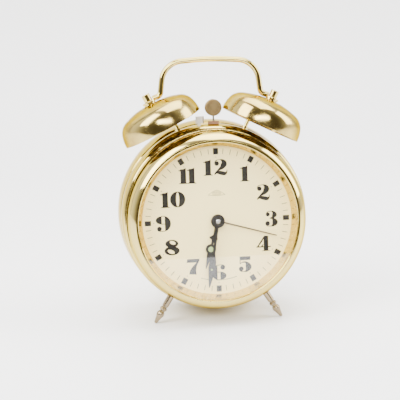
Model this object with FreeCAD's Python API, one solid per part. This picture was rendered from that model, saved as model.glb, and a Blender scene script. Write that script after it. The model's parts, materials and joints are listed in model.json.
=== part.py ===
import FreeCAD
import Part
import math
import os

Vec = FreeCAD.Vector

# A wind-up alarm clock with two bells, built in the clock's own frame:
# X to the right of the dial, Y from the dial back into the case, Z to the twelve.
# The whole clock is leant back and set down on its feet at the end. Millimetres.

# ---------------------------------------------------------------- case and front
bezel_radius = 56.6             # drives the radii of the case and of its whole front
wall = 0.8                      # sheet brass of case and bezel
front_clearance = 0.3           # bezel skirt over the case's spigot
spigot_radius = bezel_radius - wall - front_clearance
bezel_depth = 9.3               # lip in front of the dial's face
bezel_skirt = 4.1               # how far the bezel reaches behind the dial's face
skirt_end = bezel_skirt + front_clearance
lip_width = 4.8
lip_fold = 1.9                  # the lip turned in over the glass
lip_inside = 1.1                # inner face of the lip, behind its front
bezel_lip_radius = bezel_radius - lip_width
bezel_opening_radius = bezel_lip_radius - lip_fold
crystal_clearance = 0.4
crystal_thickness = 1.4
crystal_radius = bezel_lip_radius - crystal_clearance
crystal_front = -bezel_depth + lip_inside + 0.1
dial_set_in = 0.5
dial_radius = spigot_radius - dial_set_in      # tin dial, held between ring and spigot
dial_thickness = 0.6
ring_slope = 2.6
dial_visible_radius = bezel_opening_radius - ring_slope

# ---------------------------------------------------------------- feet
foot_angle = 32.0               # each side of straight down
foot_length = 20.8              # out of the groove
foot_shank_radius = 2.2
foot_waist_radius = 1.5
foot_bead_radius = 2.35
foot_tip_radius = 1.0
foot_clearance = 0.2            # between a foot and the bezel's skirt
foot_place = skirt_end + foot_shank_radius + foot_clearance
stud_radius = 1.5
stud_clearance = 0.2
nut_height = 2.0
foot_nut_across = 5.5

# ---------------------------------------------------------------- case behind the bezel
groove_step = 0.7
groove_radius = bezel_radius + groove_step     # the groove that the feet stand in
groove_end = skirt_end + 2 * foot_shank_radius + 3 * foot_clearance
foot_reach = groove_radius + foot_length       # from the clock's axis to the foot's tip
band_step = 1.9
band_rise = 1.1
body_radius_front = groove_radius + band_step
body_radius_back = body_radius_front + band_rise
body_end = 24.6
rear_step = 0.4
rear_rise = 1.5
rear_radius_front = body_radius_back + rear_step
rear_radius = rear_radius_front + rear_rise    # largest radius, on which the clock's back rests
case_end = 46.3
roll_in = 1.1                   # rolled rear edge
rear_edge = case_end - roll_in
recess_radius = rear_radius - roll_in - wall   # opening that the back cover lies in
ledge_width = 4.8               # ledge that the back cover is screwed to
ledge_inner_radius = recess_radius - ledge_width
cover_set_in = 2.3
cover_place = case_end - cover_set_in
ledge_front = cover_place - wall
cover_thickness = 0.8
cover_clearance = 0.3
cover_back = cover_place + cover_thickness

# ---------------------------------------------------------------- bells, handle, hammer
bell_radius = 26.6
bell_height = 17.3
bell_wall = 0.9
bell_tilt = 26.4
bell_gap = 7.37                 # from the clock's middle to the rim's inner edge
bell_drop = 2.0                 # rim centre, below the case's top
bell_offset = bell_gap + bell_radius * math.cos(math.radians(bell_tilt))
bell_level = body_radius_back - bell_drop
bell_place = 18.0               # bells, handle and hammer share this plane
bell_flat_radius = 4.7
post_radius = 1.25
post_set_in = 8.0               # the post's foot stands this far inside the bell's axis
post_bend = 4.0
post_nut_across = 4.6
washer_thickness = 0.6
washer_radius = 3.7
eyelet_thickness = 1.4
eyelet_radius = 4.4
knob_base = bell_height + washer_thickness + eyelet_thickness
knob_radius = 2.6
knob_height = 4.8
handle_wire_radius = 1.8
handle_leg_low = (-7.5, 3.6)    # sideways and up from the middle of an eyelet's top
handle_leg_high = (-10.2, 24.1)
handle_crown = 26.1             # above the eyelets
handle_crown_bend = 150.0
handle_corner = 14.0
handle_foot_bend = 3.4
hammer_radius = 5.35
hammer_thickness = 4.4
hammer_height = 10.2            # head's middle above the case's top
hammer_centre = (1.3, body_radius_back + hammer_height)
hammer_rod_radius = 0.55
hammer_slot = (hammer_centre[0] - 3.9, hammer_centre[0] + 3.6)
hammer_slot_width = 3.0
guard_height = 1.6              # strip in the hammer's slot, above the case's top
guard_thickness = 0.6
stop_pivot = (-8.3, 40.0)
stop_pin_radius = 1.2
tab_width = 4.5
tab_fold = 1.4                  # the tab's edge folded back, depth and width
tab_top = body_radius_back + 5.0
tab_bottom = body_radius_back + 0.4
tab_thickness = 0.8
tab_place = 14.2
tab_stem_width = 2.0
tab_slot = (stop_pivot[0] - 1.6, stop_pivot[0] + 3.5)
slot_floor = body_radius_front - 7.0
slot_reach = 14.0

# ---------------------------------------------------------------- movement
running = 0.06                  # radial clearance of a turning shaft in its hole
press = 0.01
plate_radius = 46.0
plate_thickness = 1.4
pillar_circle = 42.5
pillar_radius = 2.2
pillar_nut_across = 5.0
pillar_angles = (38.0, 128.0, 218.0, 322.0)
dial_foot_circle = 35.0
dial_foot_angles = (75.0, 195.0, 315.0)
dial_foot_radius = 1.4
centre_arbor_radius = 0.8
train_arbor_radius = 0.6
winding_arbor_radius = 1.6
pipe_wall = 0.74
knob_gap = 3.2                  # from the back cover to knobs and keys
knob_place = cover_back + knob_gap
set_knob_radius = 7.0
set_knob_length = 7.5
set_knob_flutes = 24
alarm_knob_radius = 5.5
alarm_knob_flutes = 18
key_hub_radius = 3.2
key_hub_length = 6.0
key_wing_radius = 5.6
key_wing_spread = 6.4
key_wing_thickness = 1.6
key_hole_radius = 1.8

# levels, from the dial's face towards the back
hand_thickness = 0.5
minute_hand_place = -4.0
hour_hand_place = -2.9
alarm_hand_place = -1.7
alarm_wheel_place = 1.2
hour_wheel_place = 2.5
cannon_place = 4.1
cannon_thickness = 1.0
front_plate_place = cannon_place + cannon_thickness + 0.9
front_plate_back = front_plate_place + plate_thickness
fourth_wheel_place = front_plate_back + 1.5
third_wheel_place = front_plate_back + 4.6
escape_place = front_plate_back + 8.2
centre_wheel_place = front_plate_back + 12.6
balance_place = front_plate_back + 13.4
alarm_main_place = front_plate_back + 14.8
time_main_place = front_plate_back + 17.6
spring_place = front_plate_back + 2.0
spring_width = 8.8
back_plate_place = time_main_place + 4.0
plate_back = back_plate_place + plate_thickness
end_shake = 0.3                 # from the outside of a plate to the end of a pivot

# lengths of the hands, as far as the dial shows
minute_hand_length = dial_visible_radius - 4.7
hour_hand_length = dial_visible_radius - 16.1
alarm_hand_length = dial_visible_radius - 8.1
minute_hand_angle = 189.0       # clockwise from the twelve
hour_hand_angle = 195.5
alarm_hand_angle = 106.2

# module, wheel teeth and pinion teeth of each pair of gears
main_gears = (0.6, 60, 12)
centre_gears = (0.5, 60, 8)
third_gears = (0.4, 64, 8)
fourth_gears = (0.35, 60, 8)
alarm_gears = (0.6, 50, 10)
set_gears = (0.6, 48, 12)
cannon_gears = (0.5, 36, 12)
hour_gears = (0.4, 48, 12)
addendum = 0.8
dedendum = 1.1
wheel_thickness = 0.8

parts = {}


# ---------------------------------------------------------------- helpers
def polar(radius, degrees, y=0.0):
    a = math.radians(degrees)
    return Vec(radius * math.cos(a), y, radius * math.sin(a))


def outline(points, to_vec):
    """A closed wire. A point is (a, b), or ((mid a, mid b), (a, b)) for an arc that ends there."""
    edges = []
    start = points[0]
    here = to_vec(*start)
    for point in list(points[1:]) + [start]:
        if isinstance(point[0], tuple):
            middle, end = to_vec(*point[0]), to_vec(*point[1])
            edges.append(Part.Arc(here, middle, end).toShape())
        else:
            end = to_vec(*point)
            edges.append(Part.LineSegment(here, end).toShape())
        here = end
    return Part.Wire(edges)


def turned(points):
    """A body of revolution about Y from (radius, y) points."""
    face = Part.Face(outline(points, lambda r, y: Vec(r, y, 0)))
    return face.revolve(Vec(0, 0, 0), Vec(0, 1, 0), 360)


def turned_up(points):
    """A body of revolution about Z from (radius, z) points."""
    face = Part.Face(outline(points, lambda r, z: Vec(r, 0, z)))
    return face.revolve(Vec(0, 0, 0), Vec(0, 0, 1), 360)


def flat_shape(points, y, thickness):
    """A sheet in the dial's plane from (x, z) points, its front face at y."""
    face = Part.Face(outline(points, lambda x, z: Vec(x, y, z)))
    return face.extrude(Vec(0, thickness, 0))


def drum(place, y0, y1, radius):
    return Part.makeCylinder(radius, y1 - y0, Vec(place[0], y0, place[1]), Vec(0, 1, 0))


def pipe(place, y0, y1, radius, bore):
    return drum(place, y0, y1, radius).cut(drum(place, y0 - 1, y1 + 1, bore))


def moved(shape, place):
    shape.translate(Vec(place[0], 0, place[1]))
    return shape


def toward(place, other):
    return math.degrees(math.atan2(other[1] - place[1], other[0] - place[0]))


def beside(place, degrees, distance):
    step = polar(distance, degrees)
    return (place[0] + step.x, place[1] + step.z)


def toothed(teeth, module, y, thickness, tooth_at):
    """A wheel with straight-sided teeth, one of them centred on the angle tooth_at."""
    pitch = teeth * module / 2
    step = 360.0 / teeth
    points = []
    for i in range(teeth):
        middle = tooth_at + i * step
        for radius, half in ((pitch - dedendum * module, -0.27), (pitch + addendum * module, -0.11),
                             (pitch + addendum * module, 0.11), (pitch - dedendum * module, 0.27)):
            points.append(polar(radius, middle + half * step, y))
    return Part.Face(Part.makePolygon(points + [points[0]])).extrude(Vec(0, thickness, 0))


def windows(shape, radius, y, thickness, count=4):
    """Round lightening holes between a wheel's rim and its hub."""
    for i in range(count):
        middle = polar(radius * 0.56, 45 + i * 360.0 / count)
        shape = shape.cut(drum((middle.x, middle.z), y - 1, y + thickness + 1, radius * 0.24))
    return shape


def spiral(place, inner, pitch, turns, strip, y0, y1):
    """A flat coil of strip, made of half circles whose radius grows by half a pitch."""
    halves = int(turns * 2)
    outer_edges, inner_edges = [], []
    for k in range(halves):
        radius = inner + k * pitch / 2
        centre = Vec(0 if k % 2 == 0 else pitch / 2, y0, 0)
        first, middle, last = (0, 90, 180) if k % 2 == 0 else (180, 270, 360)
        for edges, r in ((outer_edges, radius + strip / 2), (inner_edges, radius - strip / 2)):
            spots = [centre + polar(r, a) for a in (first, middle, last)]
            edges.append(Part.Arc(*spots).toShape())
    ends = []
    for pick in (0, -1):
        a = outer_edges[pick].Vertexes[0 if pick == 0 else -1].Point
        b = inner_edges[pick].Vertexes[0 if pick == 0 else -1].Point
        ends.append(Part.LineSegment(a, b).toShape())
    wire = Part.Wire(Part.__sortEdges__(outer_edges + inner_edges + ends))
    return moved(Part.Face(wire).extrude(Vec(0, y1 - y0, 0)), place)


def bent_rod(points, radius, bends):
    """A round rod along straight runs, with an arc of the given radius at each inner point."""
    edges = []
    here = points[0]
    for i in range(1, len(points) - 1):
        corner = points[i]
        back = (points[i - 1] - corner).normalize()
        ahead = (points[i + 1] - corner).normalize()
        half = back.getAngle(ahead) / 2
        reach = bends[i - 1] / math.tan(half)
        middle_dir = (back + ahead).normalize()
        middle = corner + middle_dir * (bends[i - 1] / math.sin(half) - bends[i - 1])
        first, last = corner + back * reach, corner + ahead * reach
        edges.append(Part.LineSegment(here, first).toShape())
        edges.append(Part.Arc(first, middle, last).toShape())
        here = last
    edges.append(Part.LineSegment(here, points[-1]).toShape())
    along = points[1] - points[0]
    profile = Part.Wire([Part.Circle(points[0], along, radius).toShape()])
    return Part.Wire(edges).makePipeShell([profile], True, False)


def group(shapes):
    return Part.makeCompound(shapes)


# ---------------------------------------------------------------- frames of bells and feet
def bell_point(side, sideways, height, y=bell_place):
    """A point from a bell's own frame: sideways outward in the rim plane, height along the axis."""
    t = math.radians(bell_tilt)
    x = bell_offset + sideways * math.cos(t) + height * math.sin(t)
    z = bell_level - sideways * math.sin(t) + height * math.cos(t)
    return Vec(side * x, y, z)


def on_bell(shape, side):
    """Places a body turned about Z, with z = 0 in the rim plane, on a bell's axis."""
    shape.rotate(Vec(0, 0, 0), Vec(0, 1, 0), side * bell_tilt)
    shape.translate(bell_point(side, 0, 0))
    return shape


def on_foot(shape, side):
    """Places a body turned about Z, with z = distance from the clock's axis, on a foot's line."""
    shape.rotate(Vec(0, 0, 0), Vec(0, 1, 0), side * (180 - foot_angle))
    shape.translate(Vec(0, foot_place, 0))
    return shape


def rod_z(radius, z0, z1):
    return Part.makeCylinder(radius, z1 - z0, Vec(0, 0, z0))


def ring_z(radius, bore, z0, z1):
    return rod_z(radius, z0, z1).cut(rod_z(bore, z0 - 1, z1 + 1))


def hex_nut(across, bore, z0, z1):
    points = [Vec(across / math.sqrt(3) * math.cos(math.radians(60 * i)),
                  across / math.sqrt(3) * math.sin(math.radians(60 * i)), z0) for i in range(6)]
    body = Part.Face(Part.makePolygon(points + [points[0]])).extrude(Vec(0, 0, z1 - z0))
    return body.cut(rod_z(bore, z0 - 1, z1 + 1))


# ---------------------------------------------------------------- where the arbors stand
def gear_distance(gears):
    module, wheel, pinion = gears
    return module * (wheel + pinion) / 2


centre = (0.0, 0.0)
time_main = beside(centre, 225, gear_distance(main_gears))
third = beside(centre, 110, gear_distance(centre_gears))
fourth = beside(third, 160, gear_distance(third_gears))
escape = beside(fourth, 215, gear_distance(fourth_gears))
pallet = beside(escape, 280, 6.6)
balance = beside(pallet, 235, 10.5)
alarm_main = (21.0, -11.0)
strike = beside(alarm_main, 95, gear_distance(alarm_gears))
alarm_set = beside(centre, 50, gear_distance(set_gears))
minute_arbor = beside(centre, 180, gear_distance(cannon_gears))
hammer_pivot = (8.0, 26.0)


# ---------------------------------------------------------------- case
def case_body():
    spigot = spigot_radius
    shell = turned([
        (spigot, dial_thickness), (spigot, skirt_end), (groove_radius, skirt_end),
        (groove_radius, groove_end),
        ((body_radius_front - 0.6, groove_end + 0.7), (body_radius_front, groove_end + 2.6)),
        ((body_radius_back - 0.1, (groove_end + body_end) / 2 + 2), (body_radius_back, body_end)),
        (body_radius_back - 0.5, body_end + 0.6), (rear_radius_front, body_end + 1.4),
        ((rear_radius - 0.3, (body_end + rear_edge) / 2), (rear_radius, rear_edge)),
        ((rear_radius - 0.3 * roll_in, case_end - 0.3 * roll_in), (rear_radius - roll_in, case_end)),
        (recess_radius, case_end), (recess_radius, cover_place),
        (ledge_inner_radius, cover_place), (ledge_inner_radius, ledge_front),
        (recess_radius, ledge_front), (rear_radius_front - wall, body_end + 1.4),
        (body_radius_back - 0.5 - wall, body_end + 0.6), (body_radius_front - wall, groove_end + 2.6),
        (groove_radius - wall, groove_end), (groove_radius - wall, skirt_end + wall),
        (spigot - wall, skirt_end + wall), (spigot - wall, dial_thickness)])
    for (x0, x1), middle, width in ((hammer_slot, bell_place, hammer_slot_width),
                                    (tab_slot, tab_place + tab_thickness / 2, 2 * tab_thickness)):
        corner = Vec(x0, middle - width / 2, slot_floor)
        shell = shell.cut(Part.makeBox(x1 - x0, width, slot_reach, corner))
    for side in (-1, 1):
        hole = rod_z(post_radius + stud_clearance, post_foot_level() - 5, 0)
        hole.translate(Vec(-post_set_in * side, 0, 0))
        shell = shell.cut(on_bell(hole, side))
        hole = rod_z(stud_radius + stud_clearance, foot_nut_top() - nut_height, groove_radius + 1)
        shell = shell.cut(on_foot(hole, side))
    for spot in screw_spots():
        shell = shell.cut(drum(spot, ledge_front - 1, cover_place + 1, 1.0))
    return shell


def screw_spots():
    middle = (ledge_inner_radius + recess_radius) / 2
    return [(polar(middle, a).x, polar(middle, a).z) for a in (90, 210, 330)]


def bezel():
    inside = bezel_radius - wall
    lip = bezel_lip_radius
    return turned([
        (bezel_opening_radius, -bezel_depth + 0.3), (bezel_opening_radius + 0.4, -bezel_depth),
        (lip - 0.4, -bezel_depth),
        ((lip + 0.70 * (bezel_radius - lip), -bezel_depth * 0.62), (bezel_radius - 0.1, -0.6)),
        (bezel_radius, bezel_skirt), (inside, bezel_skirt), (inside, -0.6),
        ((lip + 0.70 * (bezel_radius - lip) - wall, -bezel_depth * 0.58),
         (crystal_radius + 0.2, -bezel_depth + lip_inside)),
        (bezel_opening_radius, -bezel_depth + lip_inside)])


def crystal():
    front = crystal_front
    return turned([(0.0, front), (crystal_radius - 0.3, front), (crystal_radius, front + 0.3),
                   (crystal_radius, front + crystal_thickness), (0.0, front + crystal_thickness)])


def reflector_ring():
    front = crystal_front + crystal_thickness + 0.05
    rim = bezel_opening_radius + 1.6
    return turned([(dial_visible_radius, 0.0), (rim - 1.0, front), (rim, front), (rim, front + wall),
                   (dial_visible_radius + wall + 0.3, 0.0)])


def dial():
    alarm_pipe = pipe_radius(2) + 0.4
    shape = drum(centre, 0, dial_thickness, dial_radius)
    return shape.cut(drum(centre, -1, dial_thickness + 1, alarm_pipe))


def back_cover():
    shape = drum(centre, cover_place, cover_back, recess_radius - cover_clearance)
    holes = [(centre, centre_arbor_radius + 0.8), (alarm_set, train_arbor_radius + 0.8),
             (time_main, winding_arbor_radius + 0.7), (alarm_main, winding_arbor_radius + 0.7)]
    holes += [(spot, 0.9) for spot in screw_spots()]
    holes += [((polar(r, a).x, polar(r, a).z), 1.6) for r, a in
              [(44, 250 + 10 * i) for i in range(5)] + [(38, 256 + 9.5 * i) for i in range(4)]]
    for place, radius in holes:
        shape = shape.cut(drum(place, cover_place - 1, cover_back + 1, radius))
    return shape.cut(regulator_slot())


def back_cover_screws():
    screws = []
    for spot in screw_spots():
        head = drum(spot, cover_back, cover_back + 1.2, 1.9)
        head = head.cut(Part.makeBox(5, 0.6, 0.5, Vec(spot[0] - 2.5, cover_back + 0.7, spot[1] - 0.25)))
        screws.append(head.fuse(drum(spot, ledge_front - 1.5, cover_back + 0.1, 0.8)))
    return group(screws)


# ---------------------------------------------------------------- feet
def front_foot(side):
    base = groove_radius + 0.05
    length = foot_reach - base
    neck = base + 0.40 * length
    stud_end = foot_nut_top() - nut_height - 0.5
    foot = turned_up([
        (0, stud_end), (stud_radius, stud_end), (stud_radius, base), (foot_shank_radius, base),
        (foot_shank_radius - 0.15, neck - 0.4), (foot_waist_radius, neck),
        (foot_waist_radius, neck + 0.5),
        ((foot_bead_radius, neck + 1.7), (foot_waist_radius, neck + 2.9)),
        (foot_waist_radius, neck + 3.5),
        ((foot_bead_radius + 0.05, neck + 5.0), (foot_bead_radius - 0.4, neck + 7.4)),
        (foot_tip_radius, foot_reach - foot_tip_radius),
        ((foot_tip_radius * 0.80, foot_reach - foot_tip_radius * 0.40),
         (foot_tip_radius * 0.3, foot_reach)),
        (0, foot_reach)])
    return on_foot(foot, side)


def foot_nut_top():
    """The nuts bear on the inside of the case's spigot."""
    return spigot_radius - wall - stud_clearance


def foot_nuts():
    top = foot_nut_top()
    return group([on_foot(hex_nut(foot_nut_across, stud_radius + 0.05, top - nut_height, top), side)
                  for side in (-1, 1)])


# ---------------------------------------------------------------- bells and handle
def bell_outline(radius, height, flat):
    """A bell's side, shoulder and dome, from the rim to the flat round its hole."""
    return [(radius, 0.0), ((radius * 0.990, height * 0.24), (radius * 0.955, height * 0.46)),
            ((radius * 0.855, height * 0.70), (radius * 0.690, height * 0.845)),
            ((radius * 0.440, height * 0.955), (flat, height))]


def bell(side):
    outer = bell_outline(bell_radius, bell_height, bell_flat_radius)
    inner = bell_outline(bell_radius - bell_wall, bell_height - bell_wall, bell_flat_radius)
    hole = post_radius + stud_clearance
    solid = turned_up(outer + [(0, bell_height), (0, 0)])
    hollow = turned_up(inner + [(0, bell_height - bell_wall), (0, 0)])
    shell = solid.cut(hollow).cut(rod_z(hole, 0, bell_height + 1))
    return on_bell(shell, side)


def post_foot_level():
    """Height, in the bell's own frame, at which the post's line meets the case."""
    start, above = bell_point(1, -post_set_in, 0, 0), bell_point(1, -post_set_in, 1, 0)
    along = above - start
    half = start.dot(along)
    return -half + math.sqrt(half * half - start.dot(start) + body_radius_back ** 2)


def bell_post(side):
    seat = bell_height - bell_wall
    level = post_foot_level()
    points = [bell_point(side, -post_set_in, level - wall - nut_height - 1.5),
              bell_point(side, -post_set_in, bell_height * 0.23),
              bell_point(side, 0, bell_height * 0.635),
              bell_point(side, 0, knob_base + knob_height - 1.6)]
    rod = bent_rod(points, post_radius, [post_bend, post_bend])
    collar = rod_z(post_radius + 1.7, seat - 1.8, seat)
    foot = rod_z(post_radius + 0.9, level + 0.3, level + 1.3)
    foot.translate(Vec(-post_set_in * side, 0, 0))
    return rod.fuse([on_bell(collar, side), on_bell(foot, side)])


def bell_post_nuts():
    nuts = []
    top = post_foot_level() - wall - 1.3
    for side in (-1, 1):
        nut = hex_nut(post_nut_across, post_radius + 0.05, top - nut_height, top)
        nut.translate(Vec(-post_set_in * side, 0, 0))
        nuts.append(on_bell(nut, side))
    return group(nuts)


def bell_washers():
    return group([on_bell(ring_z(washer_radius, post_radius + stud_clearance, bell_height,
                                 bell_height + washer_thickness), side) for side in (-1, 1)])


def knob_nut(side):
    base = knob_base
    top = base + knob_height
    nut = turned_up([(0, base), (knob_radius, base), (knob_radius, top - 0.4), (knob_radius - 0.4, top),
                     (0, top)])
    nut = nut.cut(rod_z(post_radius + 0.05, base - 1, top - 1.4))
    nut = nut.cut(Part.makeBox(8, 0.8, 1.0, Vec(-4, -0.4, top - 1.0)))
    return on_bell(nut, side)


def handle():
    run = knob_base - eyelet_thickness + handle_wire_radius + 0.05
    start = knob_radius + 0.4
    crown = Vec(0, bell_place, bell_point(1, 0, knob_base).z + handle_crown)
    points = []
    for side in (-1, 1):
        top = bell_point(side, 0, knob_base)
        half = [bell_point(side, -start, run),
                top + Vec(side * handle_leg_low[0], 0, handle_leg_low[1]),
                top + Vec(side * handle_leg_high[0], 0, handle_leg_high[1])]
        points += half if side < 0 else [crown] + half[::-1]
    bends = [handle_foot_bend, handle_corner, handle_crown_bend, handle_corner, handle_foot_bend]
    shape = bent_rod(points, handle_wire_radius, bends)
    for side in (-1, 1):
        eyelet = ring_z(eyelet_radius, post_radius + stud_clearance,
                        knob_base - eyelet_thickness, knob_base)
        shape = shape.fuse(on_bell(eyelet, side))
    return shape


# ---------------------------------------------------------------- hammer and stop lever
def hammer_head():
    y0 = bell_place - hammer_thickness / 2
    y1 = bell_place + hammer_thickness / 2
    head = turned([(0, y0), (hammer_radius - 0.4, y0), (hammer_radius, y0 + 0.4),
                   (hammer_radius, y1 - 0.4), (hammer_radius - 0.4, y1), (0, y1)])
    head = moved(head, hammer_centre)
    hole = Part.makeCylinder(hammer_rod_radius + 0.02, 4.5,
                             Vec(hammer_centre[0], bell_place, hammer_centre[1] - hammer_radius - 1.0))
    return head.cut(hole)


def hammer_arm():
    """The rod, its arbor between the plates, and the verge that the strike wheel rocks."""
    top = Vec(hammer_centre[0], bell_place, hammer_centre[1] - hammer_radius + 3.2)
    knee = Vec(hammer_centre[0], bell_place, 42.0)
    start = Vec(hammer_pivot[0], bell_place, hammer_pivot[1])
    rod = bent_rod([start, knee, top], hammer_rod_radius, [3.0])
    arbor = drum(hammer_pivot, front_plate_place + end_shake, plate_back - end_shake, train_arbor_radius)
    hub = drum(hammer_pivot, bell_place - 2.5, bell_place + 2.5, 1.8)
    aim = math.radians(toward(hammer_pivot, strike))
    reach = 14.6
    across = Vec(-math.sin(aim), 0, math.cos(aim))
    along = Vec(math.cos(aim), 0, math.sin(aim))
    base = Vec(hammer_pivot[0], bell_place - 0.6, hammer_pivot[1])
    corners = [base + across * 0.9, base + across * 0.9 + along * reach,
               base + across * -0.9 + along * reach, base + across * -0.9]
    verge = Part.Face(Part.makePolygon(corners + [corners[0]])).extrude(Vec(0, 1.2, 0))
    return rod.fuse([arbor, hub, verge])


def hammer_guard():
    """A fibre strip that stands in the front of the hammer's slot."""
    front = bell_place - hammer_slot_width / 2
    low = body_radius_front - 2.4
    return Part.makeBox(hammer_slot[1] - hammer_slot[0] - 2 * stud_clearance, guard_thickness,
                        body_radius_back + guard_height - low,
                        Vec(hammer_slot[0] + stud_clearance, front, low))


def alarm_stop_lever():
    half_tab, half_stem = tab_width / 2, tab_stem_width / 2
    x, z = stop_pivot
    sheet = flat_shape([(x - half_stem, z), (x + half_stem, z), (x + half_stem, tab_bottom),
                        (x + half_tab, tab_bottom), (x + half_tab, tab_top), (x - half_tab, tab_top),
                        (x - half_tab, tab_bottom), (x - half_stem, tab_bottom)],
                       tab_place, tab_thickness)
    eye = drum(stop_pivot, tab_place, tab_place + tab_thickness, 2.8)
    edge, back = x + half_tab, tab_place + tab_thickness
    fold = Part.Face(outline([(edge - tab_thickness, tab_place), (edge, tab_place),
                              (edge + 0.7 * tab_fold, back + tab_fold / 2),
                              (edge + 0.7 * tab_fold - tab_thickness, back + tab_fold / 2)],
                             lambda a, b: Vec(a, b, tab_bottom)))
    sheet = sheet.fuse(fold.extrude(Vec(0, 0, tab_top - tab_bottom)))
    return sheet.fuse(eye).cut(drum(stop_pivot, tab_place - 1, tab_place + 2, stop_pin_radius + running))


def stop_lever_pivot():
    post = drum(stop_pivot, front_plate_back, tab_place - 0.3, 2.0)
    pin = drum(stop_pivot, front_plate_back, tab_place + tab_thickness + 0.2, stop_pin_radius)
    head = drum(stop_pivot, tab_place + tab_thickness + 0.2, tab_place + tab_thickness + 1.0,
                stop_pin_radius + 1.0)
    return post.fuse([pin, head])


# ---------------------------------------------------------------- movement frame
def plate(place):
    shape = drum(centre, place, place + plate_thickness, plate_radius)
    holes = [(spot, train_arbor_radius) for spot in
             (third, fourth, escape, pallet, balance, strike, hammer_pivot, alarm_set)]
    holes += [(centre, centre_arbor_radius), (time_main, winding_arbor_radius),
              (alarm_main, winding_arbor_radius)]
    for spot, radius in holes:
        shape = shape.cut(drum(spot, place - 1, place + plate_thickness + 1, radius + running))
    return shape


def front_plate():
    stub = drum(minute_arbor, hour_wheel_place - 0.2, front_plate_place + 0.1, train_arbor_radius)
    return plate(front_plate_place).fuse(stub)


def pillars():
    return group([drum((polar(pillar_circle, a).x, polar(pillar_circle, a).z),
                       front_plate_back, back_plate_place, pillar_radius) for a in pillar_angles])


def pillar_nuts():
    nuts = []
    for a in pillar_angles:
        nut = hex_nut(pillar_nut_across, 1.0, 0, nut_height)
        nut.rotate(Vec(0, 0, 0), Vec(1, 0, 0), -90)
        nut.translate(polar(pillar_circle, a, plate_back))
        nuts.append(nut)
    return group(nuts)


def dial_feet():
    return group([drum((polar(dial_foot_circle, a).x, polar(dial_foot_circle, a).z),
                       dial_thickness, front_plate_place, dial_foot_radius) for a in dial_foot_angles])


# ---------------------------------------------------------------- hands and motion work
def pipe_radius(level):
    """Outside radius of the centre arbor (0), the hour pipe (1) and the alarm pipe (2)."""
    return centre_arbor_radius + level * (running + pipe_wall)


def on_dial(shape, clock_angle):
    """Turns a hand that was drawn pointing to the twelve, clockwise as seen from the front."""
    shape.rotate(Vec(0, 0, 0), Vec(0, 1, 0), clock_angle)
    return shape


def minute_hand():
    y = minute_hand_place
    tip = minute_hand_length
    blade = flat_shape([(-0.75, 3.5), (0.75, 3.5), (0.95, 12.0), (2.05, 30.0), (0.35, tip),
                        (-0.35, tip), (-2.05, 30.0), (-0.95, 12.0)], y, hand_thickness)
    hub = drum(centre, y, y + hand_thickness, 4.2)
    hand = blade.fuse(hub).cut(drum(centre, y - 1, y + 1, pipe_radius(0) + press))
    return on_dial(hand, minute_hand_angle)


def hour_hand():
    y = hour_hand_place
    tip = hour_hand_length
    stem = flat_shape([(-1.0, 3.5), (1.0, 3.5), (0.8, 9.5), (2.6, 11.8), (0.9, 12.6), (0.9, 17.0),
                       (1.9, 20.5), (0.25, tip), (-0.25, tip), (-1.9, 20.5), (-0.9, 17.0),
                       (-0.9, 12.6), (-2.6, 11.8), (-0.8, 9.5)], y, hand_thickness)
    ring = drum((0, 18.4), y, y + hand_thickness, 3.3)
    hub = drum(centre, y, y + hand_thickness, 4.4)
    hand = stem.fuse([ring, hub]).cut(drum(centre, y - 1, y + 1, pipe_radius(1) + press))
    return on_dial(hand, hour_hand_angle)


def alarm_hand():
    y = alarm_hand_place
    tip = alarm_hand_length
    blade = flat_shape([(-0.5, 3.0), (0.5, 3.0), (0.32, tip), (-0.32, tip)], y, hand_thickness)
    hub = drum(centre, y, y + hand_thickness, 3.8)
    hand = blade.fuse(hub).cut(drum(centre, y - 1, y + 1, pipe_radius(2) + press))
    return on_dial(hand, alarm_hand_angle)


def hand_nut():
    top = minute_hand_place
    return turned([(0, top - 1.1), (0.9, top - 1.0), (1.5, top - 0.6), (1.5, top),
                   (0, top)])


def centre_arbor():
    return drum(centre, minute_hand_place, knob_place + 4.0, centre_arbor_radius)


def cannon_pinion():
    module, _, pinion = cannon_gears
    at = toward(centre, minute_arbor)
    leaves = toothed(pinion, module, cannon_place, cannon_thickness, at)
    return leaves.cut(drum(centre, cannon_place - 1, front_plate_place, pipe_radius(0) + press))


def minute_wheel():
    """Between the cannon pinion and the hour wheel, on a stub of the front plate."""
    module, wheel, _ = cannon_gears
    small_module, _, small = hour_gears
    back = toward(minute_arbor, centre)
    y = cannon_place + 0.1
    disc = windows(toothed(wheel, module, y, wheel_thickness, back + 180.0 / wheel),
                   wheel * module / 2, y, wheel_thickness)
    pinion = toothed(small, small_module, hour_wheel_place, y + 0.05 - hour_wheel_place,
                     back + 180.0 / small)
    bore = drum(centre, hour_wheel_place - 1, front_plate_place, train_arbor_radius + running)
    shape = disc.fuse(pinion).cut(bore)
    return moved(shape, minute_arbor)


def hour_wheel():
    module, wheel, _ = hour_gears
    disc = toothed(wheel, module, hour_wheel_place, wheel_thickness, toward(centre, minute_arbor))
    tube = drum(centre, hour_hand_place, hour_wheel_place + 0.1, pipe_radius(1))
    return disc.fuse(tube).cut(drum(centre, -9, 9, pipe_radius(0) + running))


def alarm_wheel():
    module, wheel, _ = set_gears
    disc = toothed(wheel, module, alarm_wheel_place, wheel_thickness, toward(centre, alarm_set))
    tube = drum(centre, alarm_hand_place, alarm_wheel_place + 0.1, pipe_radius(2))
    return disc.fuse(tube).cut(drum(centre, -9, 9, pipe_radius(1) + running))


def alarm_set_arbor():
    module, _, pinion = set_gears
    back = toward(alarm_set, centre)
    y = alarm_wheel_place - 0.2
    teeth = toothed(pinion, module, y, wheel_thickness + 0.5, back + 180.0 / pinion)
    shaft = drum(centre, y + wheel_thickness + 0.4, knob_place + 4.0, train_arbor_radius)
    return moved(teeth.fuse(shaft), alarm_set)


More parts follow.
